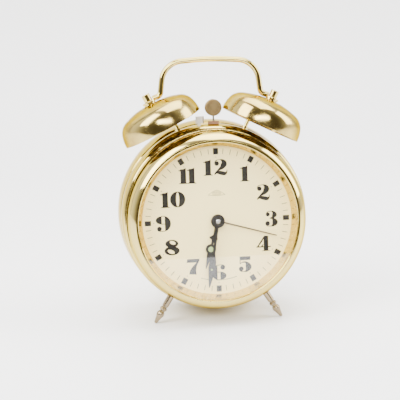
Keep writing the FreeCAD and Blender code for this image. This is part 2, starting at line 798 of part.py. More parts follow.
def fluted_knob(place, radius, bore, flutes):
    y = knob_place
    knob = turned([(0, y), (radius * 0.55, y), (radius * 0.55, y + 1.6), (radius, y + 2.0),
                   (radius, y + set_knob_length - 0.5), (radius - 0.5, y + set_knob_length),
                   (0, y + set_knob_length)])
    for i in range(flutes):
        spot = polar(radius + 0.35, i * 360.0 / flutes)
        knob = knob.cut(drum((spot.x, spot.z), y + 1, y + set_knob_length + 1, 0.8))
    return moved(knob.cut(drum(centre, y - 1, y + 4.0, bore + press)), place)


def winding_arbor(place):
    return drum(place, front_plate_place + end_shake, knob_place + 4.5, winding_arbor_radius)


def winding_key(place, turn):
    """A hub with two flat wings; the wings stand along the arbor's line."""
    y = knob_place
    hub = drum(centre, y, y + key_hub_length, key_hub_radius)
    middle = y + key_hub_length + key_wing_radius - 1.2
    half = key_wing_thickness / 2
    wings = Part.makeBox(2 * key_wing_spread, 2 * key_wing_radius * 0.72, key_wing_thickness,
                         Vec(-key_wing_spread, middle - key_wing_radius * 0.72, -half))
    for side in (-1, 1):
        lobe = Part.makeCylinder(key_wing_radius, key_wing_thickness,
                                 Vec(side * key_wing_spread, middle, -half))
        wings = wings.fuse(lobe)
    for side in (-1, 1):
        eye = Vec(side * (key_wing_spread + 1), middle, -key_hub_radius)
        wings = wings.cut(Part.makeCylinder(key_hole_radius, 2 * key_hub_radius, eye))
    key = hub.fuse(wings).cut(drum(centre, y - 1, y + 4.5, winding_arbor_radius + press))
    key.rotate(Vec(0, 0, 0), Vec(0, 1, 0), turn)
    return moved(key, place)


# ---------------------------------------------------------------- going train
def main_wheel(place, gears, y, mate):
    """A great wheel, free on its winding arbor."""
    module, wheel, _ = gears
    disc = toothed(wheel, module, y, 1.2, toward(place, mate))
    disc = windows(disc, wheel * module / 2, y, 1.2)
    hub = drum(centre, y - 0.8, y + 2.0, winding_arbor_radius + 1.6)
    return moved(disc.fuse(hub).cut(drum(centre, 0, 60, winding_arbor_radius + running)), place)


def centre_wheel():
    """Centre wheel and its pinion, a friction fit on the centre arbor so that the hands can be set."""
    module, wheel, _ = centre_gears
    main_module, _, pinion = main_gears
    y = centre_wheel_place
    disc = windows(toothed(wheel, module, y, wheel_thickness, toward(centre, third)),
                   wheel * module / 2, y, wheel_thickness)
    mate = toothed(pinion, main_module, y + 0.5, time_main_place + 2.0 - (y + 0.5),
                   toward(centre, time_main) + 180.0 / pinion)
    return disc.fuse(mate).cut(drum(centre, y - 1, back_plate_place, centre_arbor_radius + running))


def train_wheel(place, pinion, pinion_y, pinion_at, wheel, wheel_y, wheel_at):
    """An arbor with a pinion and a wheel; pinion and wheel are (module, teeth)."""
    shaft = drum(centre, front_plate_place + end_shake, plate_back - end_shake, train_arbor_radius)
    leaves = toothed(pinion[1], pinion[0], pinion_y, 2.2, pinion_at + 180.0 / pinion[1])
    disc = toothed(wheel[1], wheel[0], wheel_y, wheel_thickness, wheel_at)
    disc = windows(disc, wheel[0] * wheel[1] / 2, wheel_y, wheel_thickness)
    hub = drum(centre, wheel_y - 0.6, wheel_y + wheel_thickness + 0.6, 1.3)
    return moved(shaft.fuse([leaves, disc, hub]), place)


def third_wheel():
    return train_wheel(third, (centre_gears[0], centre_gears[2]), centre_wheel_place - 0.7,
                       toward(third, centre), (third_gears[0], third_gears[1]), third_wheel_place,
                       toward(third, fourth))


def fourth_wheel():
    return train_wheel(fourth, (third_gears[0], third_gears[2]), third_wheel_place - 0.7,
                       toward(fourth, third), (fourth_gears[0], fourth_gears[1]), fourth_wheel_place,
                       toward(fourth, escape))


escape_radius = 5.4


def saw_wheel(teeth, radius, y, thickness, depth, start):
    """A wheel with sharp leaning teeth."""
    step = 360.0 / teeth
    points = []
    for i in range(teeth):
        points.append(polar(radius - depth, start + i * step, y))
        points.append(polar(radius, start + (i + 0.12) * step, y))
        points.append(polar(radius - 0.12, start + (i + 0.22) * step, y))
    return Part.Face(Part.makePolygon(points + [points[0]])).extrude(Vec(0, thickness, 0))


def escape_wheel():
    shaft = drum(centre, front_plate_place + end_shake, plate_back - end_shake, train_arbor_radius)
    at = toward(escape, fourth) + 180.0 / fourth_gears[2]
    leaves = toothed(fourth_gears[2], fourth_gears[0], fourth_wheel_place - 0.7, 2.2, at)
    disc = saw_wheel(15, escape_radius, escape_place, wheel_thickness, 1.3, 0)
    return moved(shaft.fuse([leaves, disc]), escape)


def pallet_fork():
    """Two steel pins on an anchor, and a fork towards the balance."""
    y = escape_place - 1.2
    shaft = drum(centre, front_plate_place + end_shake, plate_back - end_shake, train_arbor_radius)
    aim = toward(pallet, escape)
    anchor = flat_shape([(-3.5, 0.9), (-3.5, 1.9), (-2.6, 1.9), (0.0, 0.9), (2.6, 1.9), (3.5, 1.9),
                         (3.5, 0.9), (0.9, -0.9), (-0.9, -0.9)], y, 0.6)
    arm = flat_shape([(-0.5, -8.8), (0.5, -8.8), (0.5, 0), (-0.5, 0)], y, 0.6)
    arm.rotate(Vec(0, 0, 0), Vec(0, 1, 0), aim - toward(balance, pallet))
    pins = [drum((side * 3.0, 1.4), y, y + 2.6, 0.3) for side in (-1, 1)]
    flat = anchor.fuse([arm] + pins)
    flat.rotate(Vec(0, 0, 0), Vec(0, 1, 0), 90 - aim)
    return moved(flat.fuse(shaft), pallet)


balance_radius = 9.0


def balance_wheel():
    shaft = drum(centre, front_plate_place + end_shake, plate_back - end_shake, train_arbor_radius)
    rim = pipe(centre, balance_place - 0.4, balance_place + 1.2, balance_radius, balance_radius - 1.1)
    bar = flat_shape([(-balance_radius + 0.6, -0.9), (balance_radius - 0.6, -0.9),
                      (balance_radius - 0.6, 0.9), (-balance_radius + 0.6, 0.9)], balance_place, 0.8)
    return moved(shaft.fuse([rim, bar]), balance)


def hairspring():
    y = balance_place + 3.2
    return spiral(balance, train_arbor_radius + 0.45, 0.7, 6, 0.16, y, y + 0.7)


def mainspring(place):
    inner = winding_arbor_radius + 0.65
    return spiral(place, inner, 1.3, 8, 0.5, spring_place, spring_place + spring_width)


# ---------------------------------------------------------------- alarm train and regulator
def strike_wheel():
    shaft = drum(centre, front_plate_place + end_shake, plate_back - end_shake, train_arbor_radius)
    module, _, pinion = alarm_gears
    at = toward(strike, alarm_main) + 180.0 / pinion
    leaves = toothed(pinion, module, alarm_main_place - 0.5, 2.2, at)
    disc = saw_wheel(18, 5.6, bell_place - 0.4, wheel_thickness, 1.2, 5)
    return moved(shaft.fuse([leaves, disc]), strike)


regulator_reach = 13.0
regulator_travel = 20.0


def regulator_slot():
    """An arc-shaped slot in the back cover for the regulator's finger."""
    half = regulator_travel + 6
    low, high = regulator_reach - 1.3, regulator_reach + 1.3
    points = [(polar(low, 180 - half).x, polar(low, 180 - half).z),
              ((-low, 0.0), (polar(low, 180 + half).x, polar(low, 180 + half).z)),
              (polar(high, 180 + half).x, polar(high, 180 + half).z),
              ((-high, 0.0), (polar(high, 180 - half).x, polar(high, 180 - half).z))]
    return moved(flat_shape(points, cover_place - 1, cover_thickness + 2), balance)


def regulator_lever():
    y = plate_back + 0.3
    eye = pipe(centre, y, y + 0.7, 3.2, 1.4 + running)
    arm = flat_shape([(-regulator_reach - 0.8, -0.8), (-2.6, -0.8), (-2.6, 0.8),
                      (-regulator_reach - 0.8, 0.8)], y, 0.7)
    finger = drum((-regulator_reach, 0.0), y, cover_back + 3.0, 0.8)
    return moved(eye.fuse([arm, finger]), balance)


def regulator_boss():
    """The bush on the back plate that the regulator turns on."""
    bush = pipe(centre, plate_back, plate_back + 1.4, 1.4, train_arbor_radius + running)
    collar = pipe(centre, plate_back + 1.2, plate_back + 1.8, 2.2, train_arbor_radius + running)
    return moved(bush.fuse(collar), balance)


# ---------------------------------------------------------------- the clock
parts["case_body"] = case_body()
parts["bezel"] = bezel()
parts["crystal"] = crystal()
parts["reflector_ring"] = reflector_ring()
parts["dial"] = dial()
parts["back_cover"] = back_cover()
parts["back_cover_screws"] = back_cover_screws()
for name, side in (("left", -1), ("right", 1)):
    parts["front_foot_" + name] = front_foot(side)
    parts["bell_" + name] = bell(side)
    parts["bell_post_" + name] = bell_post(side)
    parts["knob_nut_" + name] = knob_nut(side)
parts["foot_nuts"] = foot_nuts()
parts["bell_post_nuts"] = bell_post_nuts()
parts["bell_washers"] = bell_washers()
parts["carrying_handle"] = handle()
parts["hammer_guard"] = hammer_guard()
parts["hammer_head"] = hammer_head()
parts["hammer_arm"] = hammer_arm()
parts["alarm_stop_lever"] = alarm_stop_lever()
parts["stop_lever_pivot"] = stop_lever_pivot()
parts["front_plate"] = front_plate()
parts["back_plate"] = plate(back_plate_place)
parts["pillars"] = pillars()
parts["pillar_nuts"] = pillar_nuts()
parts["dial_feet"] = dial_feet()
parts["minute_hand"] = minute_hand()
parts["hour_hand"] = hour_hand()
parts["alarm_hand"] = alarm_hand()
parts["hand_nut"] = hand_nut()
parts["centre_arbor"] = centre_arbor()
parts["cannon_pinion"] = cannon_pinion()
parts["minute_wheel"] = minute_wheel()
parts["hour_wheel"] = hour_wheel()
parts["alarm_wheel"] = alarm_wheel()
parts["alarm_set_arbor"] = alarm_set_arbor()
parts["time_set_knob"] = fluted_knob(centre, set_knob_radius, centre_arbor_radius, set_knob_flutes)
parts["alarm_set_knob"] = fluted_knob(alarm_set, alarm_knob_radius, train_arbor_radius,
                                      alarm_knob_flutes)
parts["time_winding_arbor"] = winding_arbor(time_main)
parts["alarm_winding_arbor"] = winding_arbor(alarm_main)
parts["time_winding_key"] = winding_key(time_main, 35)
parts["alarm_winding_key"] = winding_key(alarm_main, -20)
parts["time_main_wheel"] = main_wheel(time_main, main_gears, time_main_place, centre)
parts["alarm_main_wheel"] = main_wheel(alarm_main, alarm_gears, alarm_main_place, strike)
parts["centre_wheel"] = centre_wheel()
parts["third_wheel"] = third_wheel()
parts["fourth_wheel"] = fourth_wheel()
parts["escape_wheel"] = escape_wheel()
parts["pallet_fork"] = pallet_fork()
parts["balance_wheel"] = balance_wheel()
parts["hairspring"] = hairspring()
parts["time_mainspring"] = mainspring(time_main)
parts["alarm_mainspring"] = mainspring(alarm_main)
parts["strike_wheel"] = strike_wheel()
parts["regulator_lever"] = regulator_lever()
parts["regulator_boss"] = regulator_boss()

# The clock leans back until the rear edge of the case and the tips of the feet are level.
foot_low = (foot_reach - foot_tip_radius) * math.cos(math.radians(foot_angle)) + foot_tip_radius
lean = math.degrees(math.atan2(foot_low - rear_radius, rear_edge - foot_place))
for shape in parts.values():
    shape.rotate(Vec(0, 0, 0), Vec(1, 0, 0), -lean)
outside = [parts[name] for name in ("case_body", "bezel", "front_foot_left", "front_foot_right",
                                    "bell_left", "bell_right", "carrying_handle",
                                    "time_winding_key", "alarm_winding_key")]
box = group(outside).optimalBoundingBox(True)
shift = Vec(-(box.XMin + box.XMax) / 2, -(box.YMin + box.YMax) / 2, -box.ZMin)

os.makedirs("parts", exist_ok=True)
for name, shape in parts.items():
    shape.translate(shift)
    shape.exportStep("parts/" + name + ".step")
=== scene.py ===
import json
import math

import bmesh
import bpy
from bpy.props import FloatProperty, FloatVectorProperty, IntProperty, PointerProperty
from mathutils import Matrix, Vector


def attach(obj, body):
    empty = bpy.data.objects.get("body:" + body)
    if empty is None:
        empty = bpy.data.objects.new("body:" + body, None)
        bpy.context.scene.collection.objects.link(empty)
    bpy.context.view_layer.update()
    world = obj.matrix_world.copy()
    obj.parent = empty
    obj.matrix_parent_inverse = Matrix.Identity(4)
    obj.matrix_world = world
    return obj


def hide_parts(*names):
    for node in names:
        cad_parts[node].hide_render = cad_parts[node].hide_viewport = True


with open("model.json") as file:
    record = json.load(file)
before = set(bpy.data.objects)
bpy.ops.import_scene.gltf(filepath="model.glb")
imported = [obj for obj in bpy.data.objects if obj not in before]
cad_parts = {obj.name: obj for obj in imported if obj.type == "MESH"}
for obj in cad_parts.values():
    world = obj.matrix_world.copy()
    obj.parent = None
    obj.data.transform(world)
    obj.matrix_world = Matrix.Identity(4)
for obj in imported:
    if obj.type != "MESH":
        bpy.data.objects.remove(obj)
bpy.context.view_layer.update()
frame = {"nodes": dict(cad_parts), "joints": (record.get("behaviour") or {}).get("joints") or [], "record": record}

bl_info = {
    "name": "Wind-up Alarm Clock",
    "version": (1, 0, 0),
    "blender": (4, 5, 0),
    "location": "View3D > Sidebar > Clock",
    "description": "Finishes a two-bell wind-up alarm clock around its packed model",
    "category": "Object",
}

MM = 0.001
RING_STEPS = 256                # sides of the case, bezel and reflector

# ------------------------------------------------------------------ the clock's own frame
# X to the right of the dial, Y from the dial's face back into the case, Z to the twelve.
JOINTS = {joint["name"]: joint for joint in frame["joints"]}
BACK = Vector(JOINTS["minute_hand_turn"]["axis"]).normalized()
UP = Vector((0.0, -BACK.z, BACK.y))
RIGHT = Vector((1.0, 0.0, 0.0))


def reach(node, direction, pick):
    """The lowest (min) or highest (max) place of a CAD node along a direction, in metres."""
    return pick(v.co.dot(direction) for v in frame["nodes"][node].data.vertices)


def joint_place(name):
    """A joint's place in the dial's plane: (x, z) in the clock's frame, in millimetres."""
    offset = Vector(JOINTS[name]["pos_m"]) - ORIGIN
    return offset.dot(RIGHT) / MM, offset.dot(UP) / MM


AXIS_POINT = Vector(JOINTS["minute_hand_turn"]["pos_m"])
ORIGIN = AXIS_POINT + BACK * (reach("dial", BACK, min) - AXIS_POINT.dot(BACK))
CLOCK = Matrix.Translation(ORIGIN) @ Matrix((RIGHT, BACK, UP)).transposed().to_4x4() @ Matrix.Scale(MM, 4)
FACING = Matrix.Rotation(math.radians(90), 4, "X")      # a part drawn in XY, seen from +Z, faces the front
TURNED = Matrix.Rotation(math.radians(-90), 4, "X")     # a part turned about Z lies along +Y


def depth(node, pick):
    """Where a CAD node starts (min) or ends (max) behind the dial's face, in millimetres."""
    return (reach(node, BACK, pick) - ORIGIN.dot(BACK)) / MM


# ------------------------------------------------------------------ sizes and colours
def size(name, description, value):
    return FloatProperty(name=name, description=description, default=value, min=0.0, subtype="DISTANCE")


def colour(name, description, value):
    return FloatVectorProperty(name=name, description=description, default=value, size=4, min=0.0,
                               max=1.0, subtype="COLOR")


class ClockSizes(bpy.types.PropertyGroup):
    """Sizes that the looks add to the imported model, in metres."""
    mark_circle: size("Mark circle", "Radius of the circle that the hour marks are centred on", 0.0439)
    hour_mark_length: size("Hour mark length", "Length of an hour mark along the radius", 0.0040)
    hour_mark_width: size("Hour mark width", "Width of an hour mark", 0.0032)
    minute_mark_length: size("Minute mark length", "Length of a minute mark along the radius", 0.0033)
    minute_mark_width: size("Minute mark width", "Width of a minute mark", 0.00036)
    numeral_height: size("Numeral height", "Height of a numeral", 0.0100)
    ink_thickness: size("Ink thickness", "How far printed marks stand out of the dial", 0.00004)
    hand_bevel: size("Hand bevel", "Width of the bright bevel round a hand", 0.00012)
    lume_radius: size("Lume radius", "Radius of the luminous spot on the hour hand", 0.0017)
    edge_round: size("Edge rounding", "Radius of rounded sheet edges", 0.00025)
    knurl_count: IntProperty(name="Knurl count", description="Ridges round the time set knob", default=44,
                             min=6)
    lathe_steps: IntProperty(name="Steps round", description="Faces round a turned piece", default=192,
                             min=24)


class ClockColours(bpy.types.PropertyGroup):
    """Finishes of the clock."""
    gold: colour("Gold plate", "Pale polished plating of case and bezel", (0.62, 0.49, 0.15, 1.0))
    gold_tarnish: colour("Gold tarnish", "Older, browner plating", (0.62, 0.44, 0.20, 1.0))
    bell: colour("Bell gold", "Darker plating of the bells", (0.50, 0.38, 0.12, 1.0))
    bell_tarnish: colour("Bell tarnish", "Brown marks on the bells", (0.22, 0.13, 0.05, 1.0))
    dial: colour("Dial paint", "Cream paint of the dial", (0.95, 0.78, 0.34, 1.0))
    dial_edge: colour("Dial edge", "Yellower paint towards the dial's rim", (0.90, 0.70, 0.28, 1.0))
    ink: colour("Ink", "Printed marks and hands", (0.012, 0.011, 0.010, 1.0))
    lume: colour("Lume", "Aged luminous paint", (0.36, 0.46, 0.16, 1.0))
    nickel: colour("Nickel", "Warm nickel of feet", (0.30, 0.235, 0.145, 1.0))


# ------------------------------------------------------------------ node helpers
class Nodes:
    """A short way to write a node tree: add nodes by type, join sockets by name."""

    def __init__(self, tree):
        self.tree = tree

    def add(self, kind, settings=None, **inputs):
        node = self.tree.nodes.new(kind)
        for key, value in (settings or {}).items():
            setattr(node, key, value)
        for key, value in inputs.items():
            self.feed(node, key.replace("_", " "), value)
        return node

    def feed(self, node, key, value):
        socket = node.inputs[int(key)] if key.isdigit() else node.inputs[key]
        if isinstance(value, bpy.types.NodeSocket):
            self.tree.links.new(value, socket)
        else:
            socket.default_value = value

    def math(self, operation, first, second=0.0, third=0.0):
        node = self.tree.nodes.new("ShaderNodeMath")
        node.operation = operation
        for index, value in enumerate((first, second, third)):
            self.feed(node, str(index), value)
        return node.outputs[0]

    def noise(self, vector, scale, detail=4.0, rough=0.55):
        node = self.add("ShaderNodeTexNoise", Scale=scale, Detail=detail, Roughness=rough, Vector=vector)
        return node.outputs[0]

    def band(self, value, low, high):
        """0 below low, 1 above high, smooth between."""
        node = self.add("ShaderNodeMapRange", {"interpolation_type": "SMOOTHSTEP"}, Value=value)
        node.inputs["From Min"].default_value = low
        node.inputs["From Max"].default_value = high
        return node.outputs[0]

    def blend(self, factor, first, second):
        node = self.add("ShaderNodeMix", {"data_type": "RGBA"})
        self.feed(node, "0", factor)
        self.feed(node, "6", first)
        self.feed(node, "7", second)
        return node.outputs[2]


def group_tree(name, kind, inputs, outputs):
    """A node group with named sockets; inputs and outputs are (name, socket type, default)."""
    tree = bpy.data.node_groups.new(name, kind)
    for direction, sockets in (("INPUT", inputs), ("OUTPUT", outputs)):
        for socket_name, socket_type, default in sockets:
            made = tree.interface.new_socket(socket_name, in_out=direction, socket_type=socket_type)
            if default is not None:
                made.default_value = default
    return tree


def object_point(n):
    """Object coordinates, which every finish is laid out in."""
    return n.add("ShaderNodeTexCoord").outputs["Object"]


def plating_group():
    """Plated metal: colour that browns in patches, smudged roughness and hairline scratches."""
    tree = group_tree("plating", "ShaderNodeTree", [
        ("Colour", "NodeSocketColor", (0.8, 0.7, 0.4, 1)), ("Tarnish", "NodeSocketColor", (0.5, 0.4, 0.2, 1)),
        ("Patch Scale", "NodeSocketFloat", 40.0), ("Patch Amount", "NodeSocketFloat", 0.3),
        ("Base Roughness", "NodeSocketFloat", 0.12), ("Smudge", "NodeSocketFloat", 0.10)],
        [("Colour", "NodeSocketColor", None), ("Roughness", "NodeSocketFloat", None),
         ("Height", "NodeSocketFloat", None)])
    n = Nodes(tree)
    given = tree.nodes.new("NodeGroupInput").outputs
    point = object_point(n)
    patches = n.band(n.noise(point, given["Patch Scale"], 6.0, 0.6), 0.42, 0.72)
    specks = n.band(n.noise(point, n.math("MULTIPLY", given["Patch Scale"], 22.0), 2.0), 0.66, 0.72)
    amount = n.math("MULTIPLY", n.math("MAXIMUM", patches, n.math("MULTIPLY", specks, 0.7)),
                    given["Patch Amount"])
    smudge = n.band(n.noise(point, n.math("MULTIPLY", given["Patch Scale"], 2.3), 5.0, 0.65), 0.35, 0.75)
    stretched = n.add("ShaderNodeMapping", Vector=point)
    stretched.inputs["Scale"].default_value = (2500.0, 2500.0, 260.0)
    scratch = n.noise(stretched.outputs[0], 1.0, 2.0)
    crossed = n.add("ShaderNodeMapping", Vector=point)
    crossed.inputs["Scale"].default_value = (240.0, 900.0, 3100.0)
    crossed.inputs["Rotation"].default_value = (0.3, 0.7, 0.4)
    scratch_two = n.noise(crossed.outputs[0], 1.0, 2.0)
    rough = n.math("ADD", given["Base Roughness"], n.math("MULTIPLY", smudge, given["Smudge"]))
    out = tree.nodes.new("NodeGroupOutput")
    n.feed(out, "Colour", n.blend(amount, given["Colour"], given["Tarnish"]))
    n.feed(out, "Roughness", n.math("ADD", rough, n.math("MULTIPLY", specks, 0.12)))
    n.feed(out, "Height", n.math("ADD", scratch, n.math("ADD", scratch_two, n.math("MULTIPLY", specks, -1.5))))
    return tree


def paint_group():
    """Paint or enamel: fine orange peel, dust specks and a slow drift of colour."""
    tree = group_tree("paint", "ShaderNodeTree", [
        ("Colour", "NodeSocketColor", (0.8, 0.8, 0.8, 1)), ("Dust", "NodeSocketColor", (0.6, 0.5, 0.4, 1)),
        ("Grain Scale", "NodeSocketFloat", 1500.0), ("Dust Amount", "NodeSocketFloat", 0.15),
        ("Base Roughness", "NodeSocketFloat", 0.4)],
        [("Colour", "NodeSocketColor", None), ("Roughness", "NodeSocketFloat", None),
         ("Height", "NodeSocketFloat", None)])
    n = Nodes(tree)
    given = tree.nodes.new("NodeGroupInput").outputs
    point = object_point(n)
    drift = n.noise(point, 30.0, 3.0)
    specks = n.band(n.noise(point, n.math("MULTIPLY", given["Grain Scale"], 0.6), 2.0), 0.70, 0.78)
    dust = n.math("MULTIPLY", n.math("ADD", n.math("MULTIPLY", drift, 0.35), specks), given["Dust Amount"])
    grain = n.noise(point, given["Grain Scale"], 3.0)
    out = tree.nodes.new("NodeGroupOutput")
    n.feed(out, "Colour", n.blend(dust, given["Colour"], given["Dust"]))
    n.feed(out, "Roughness", n.math("ADD", given["Base Roughness"], n.math("MULTIPLY", drift, 0.12)))
    n.feed(out, "Height", grain)
    return tree


GROUPS = {}


def finish_material(name, maker, values, strength, distance, constants):
    """A material whose Principled BSDF takes colour, roughness and bump from a shader group."""
    if maker not in GROUPS:
        GROUPS[maker] = maker()
    material = bpy.data.materials.new(name)
    material.use_nodes = True
    n = Nodes(material.node_tree)
    shader = material.node_tree.nodes["Principled BSDF"]
    group = n.add("ShaderNodeGroup", {"node_tree": GROUPS[maker]})
    for key, value in values.items():
        group.inputs[key].default_value = value
    bump = n.add("ShaderNodeBump", Height=group.outputs["Height"])
    bump.inputs["Strength"].default_value = strength
    bump.inputs["Distance"].default_value = distance
    n.feed(shader, "Base Color", group.outputs["Colour"])
    n.feed(shader, "Roughness", group.outputs["Roughness"])
    n.feed(shader, "Normal", bump.outputs[0])
    for key, value in constants.items():
        shader.inputs[key].default_value = value
    return material


def plated(name, base, tarnish, patches, amount, rough, smudge, strength=0.05):
    """A plated metal with tarnish in patches."""
    values = {"Colour": base, "Tarnish": tarnish, "Patch Scale": patches, "Patch Amount": amount,
              "Base Roughness": rough, "Smudge": smudge}
    return finish_material(name, plating_group, values, strength, 0.00003,
                           {"Metallic": 1.0, "Specular Tint": [0.1 + 0.9 * c for c in base[:3]] + [1]})


def painted(name, base, dust, grain, amount, rough, **constants):
    """A painted or enamelled surface with a trace of dust."""
    values = {"Colour": base, "Dust": dust, "Grain Scale": grain, "Dust Amount": amount,
              "Base Roughness": rough}
    return finish_material(name, paint_group, values, 0.08, 0.00002, constants)


def dial_material(colours):
    """Cream paint that yellows towards the rim."""
    material = painted("dial_paint", colours.dial, (0.55, 0.42, 0.22, 1), 1800.0, 0.16, 0.42)
    n = Nodes(material.node_tree)
    shader = material.node_tree.nodes["Principled BSDF"]
    painted_colour = shader.inputs["Base Color"].links[0].from_socket
    centred = n.add("ShaderNodeMapping", Vector=object_point(n))
    centred.inputs["Location"].default_value = [-c for c in ORIGIN]
    distance = n.add("ShaderNodeVectorMath", {"operation": "LENGTH"}, **{"0": centred.outputs[0]})
    rim = n.band(distance.outputs["Value"], 0.030, 0.052)
    n.feed(shader, "Base Color", n.blend(n.math("MULTIPLY", rim, 0.55), painted_colour,
                                         tuple(colours.dial_edge)))
    return material


def glass_material():
    """Clear glass that lets lamps light the dial, with a trace of dust."""
    material = bpy.data.materials.new("crystal_glass")
    material.use_nodes = True
    n = Nodes(material.node_tree)
    shader = material.node_tree.nodes["Principled BSDF"]
    for key, value in {"Transmission Weight": 1.0, "IOR": 1.62, "Base Color": (1, 1, 1, 1)}.items():
        shader.inputs[key].default_value = value
    haze = n.noise(object_point(n), 60.0, 5.0)
    n.feed(shader, "Roughness", n.math("MULTIPLY", n.band(haze, 0.45, 0.8), 0.02))
    path = n.add("ShaderNodeLightPath")
    clear = n.add("ShaderNodeBsdfTransparent")
    mix = n.add("ShaderNodeMixShader")
    n.feed(mix, "0", path.outputs["Is Shadow Ray"])
    n.feed(mix, "1", shader.outputs[0])
    n.feed(mix, "2", clear.outputs[0])
    material.node_tree.links.new(mix.outputs[0], material.node_tree.nodes["Material Output"].inputs[0])
    return material


def make_materials(colours):
    """Every finish of the clock, by name."""
    gold, tarnish = tuple(colours.gold), tuple(colours.gold_tarnish)
    bell, bell_tarnish = tuple(colours.bell), tuple(colours.bell_tarnish)
    ink = tuple(colours.ink)
    brass, brass_dark = (0.72, 0.52, 0.22, 1), (0.42, 0.26, 0.09, 1)
    grey, grey_dark = (0.52, 0.52, 0.53, 1), (0.25, 0.23, 0.21, 1)
    return {
        "gold_plate": plated("gold_plate", gold, tarnish, 38.0, 0.30, 0.07, 0.09, 0.04),
        "gold_satin": plated("gold_satin", (0.72, 0.56, 0.17, 1), tarnish, 60.0, 0.25, 0.20, 0.12, 0.06),
        "bell_gold": plated("bell_gold", bell, bell_tarnish, 55.0, 0.55, 0.09, 0.14, 0.08),
        "bell_inside": plated("bell_inside", (0.40, 0.30, 0.14, 1), bell_tarnish, 70.0, 0.6, 0.30, 0.2, 0.1),
        "aged_brass": plated("aged_brass", (0.25, 0.175, 0.075, 1), (0.20, 0.12, 0.05, 1), 190.0, 0.7, 0.32,
                             0.2, 0.25),
        "bright_brass": plated("bright_brass", brass, brass_dark, 90.0, 0.35, 0.16, 0.14, 0.08),
        "train_brass": plated("train_brass", brass, brass_dark, 120.0, 0.4, 0.24, 0.12, 0.1),
        "browned_brass": painted("browned_brass", (0.085, 0.058, 0.028, 1), (0.24, 0.17, 0.08, 1), 700.0, 0.3,
                                 0.45),
        "nickel": plated("nickel", tuple(colours.nickel), (0.40, 0.32, 0.22, 1), 110.0, 0.35, 0.17, 0.15, 0.1),
        "steel": plated("steel", grey, grey_dark, 140.0, 0.35, 0.22, 0.14, 0.1),
        "spring_steel": plated("spring_steel", (0.16, 0.20, 0.32, 1), (0.30, 0.20, 0.16, 1), 140.0, 0.4,
                               0.2, 0.12, 0.08),
        "pale_nickel": plated("pale_nickel", (0.80, 0.74, 0.66, 1), (0.5, 0.42, 0.34, 1), 150.0, 0.3, 0.42,
                              0.2, 0.1),
        "fibre": painted("fibre", (0.24, 0.12, 0.07, 1), (0.6, 0.4, 0.28, 1), 900.0, 0.4, 0.6),
        "dial_paint": dial_material(colours),
        "ink": painted("ink", ink, (0.20, 0.17, 0.13, 1), 2600.0, 0.10, 0.7, **{"Specular IOR Level": 0.1}),
        "hand_enamel": painted("hand_enamel", ink, (0.25, 0.22, 0.18, 1), 2200.0, 0.10, 0.16),
        "lume": painted("lume", tuple(colours.lume), (0.22, 0.26, 0.10, 1), 3500.0, 0.5, 0.65),
        "fine_print": painted("fine_print", (0.03, 0.024, 0.016, 1), (0.2, 0.16, 0.1, 1), 2600.0, 0.1, 0.6),
        "crystal": glass_material(),
    }


MATERIALS = {}


# ------------------------------------------------------------------ mesh helpers
def finish_piece(name, mesh, body, material, stands_for=(), sharp=32.0):
    """Puts a mesh drawn in the clock's frame (mm) in its place, rides it on its body and paints it."""
    mesh.transform(CLOCK)
    mesh.shade_smooth()
    mesh.set_sharp_from_angle(angle=math.radians(sharp))
    mesh.name = name
    for one in material if isinstance(material, (list, tuple)) else [material]:
        if one not in [m.name for m in mesh.materials if m]:
            mesh.materials.append(MATERIALS[one])
    piece = bpy.data.objects.new(name, mesh)
    bpy.context.scene.collection.objects.link(piece)
    flatten_shading(piece)
    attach(piece, body)
    if stands_for:
        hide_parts(*stands_for)
    return piece


def flatten_shading(piece):
    """Weights normals by face area, so that a large flat face stays flat up to its rounded edge."""
    piece.modifiers.new("area_normals", "WEIGHTED_NORMAL").keep_sharp = True
    plain = piece.data
    weighted = evaluated_mesh(piece)
    piece.modifiers.clear()
    piece.data = weighted
    name = plain.name
    bpy.data.meshes.remove(plain)
    weighted.name = name


def evaluated_mesh(piece):
    """A new mesh with the object's modifiers applied."""
    return bpy.data.meshes.new_from_object(piece.evaluated_get(bpy.context.evaluated_depsgraph_get()))


def mesh_from(build):
    """A mesh made by build(bmesh)."""
    bm = bmesh.new()
    build(bm)
    bmesh.ops.recalc_face_normals(bm, faces=bm.faces)
    mesh = bpy.data.meshes.new("piece")
    bm.to_mesh(mesh)
    bm.free()
    return mesh


def joined(*meshes):
    """One mesh out of several, all in the same frame."""
    bm = bmesh.new()
    for mesh in meshes:
        bm.from_mesh(mesh)
        bpy.data.meshes.remove(mesh)
    mesh = bpy.data.meshes.new("piece")
    bm.to_mesh(mesh)
    bm.free()
    return mesh


def placed(mesh, matrix):
    """The same mesh, moved by the matrix."""
    mesh.transform(matrix)
    return mesh


def difference(mesh, cutter):
    """The mesh with the cutter taken out of it; both are used up."""
    objects = []
    for name, data in (("solid", mesh), ("cutter", cutter)):
        made = bpy.data.objects.new(name, data)
        bpy.context.scene.collection.objects.link(made)
        objects.append(made)
    modifier = objects[0].modifiers.new("cut", "BOOLEAN")
    modifier.object, modifier.operation, modifier.solver = objects[1], "DIFFERENCE", "EXACT"
    result = evaluated_mesh(objects[0])
    for made in objects:
        bpy.data.objects.remove(made)
    return result


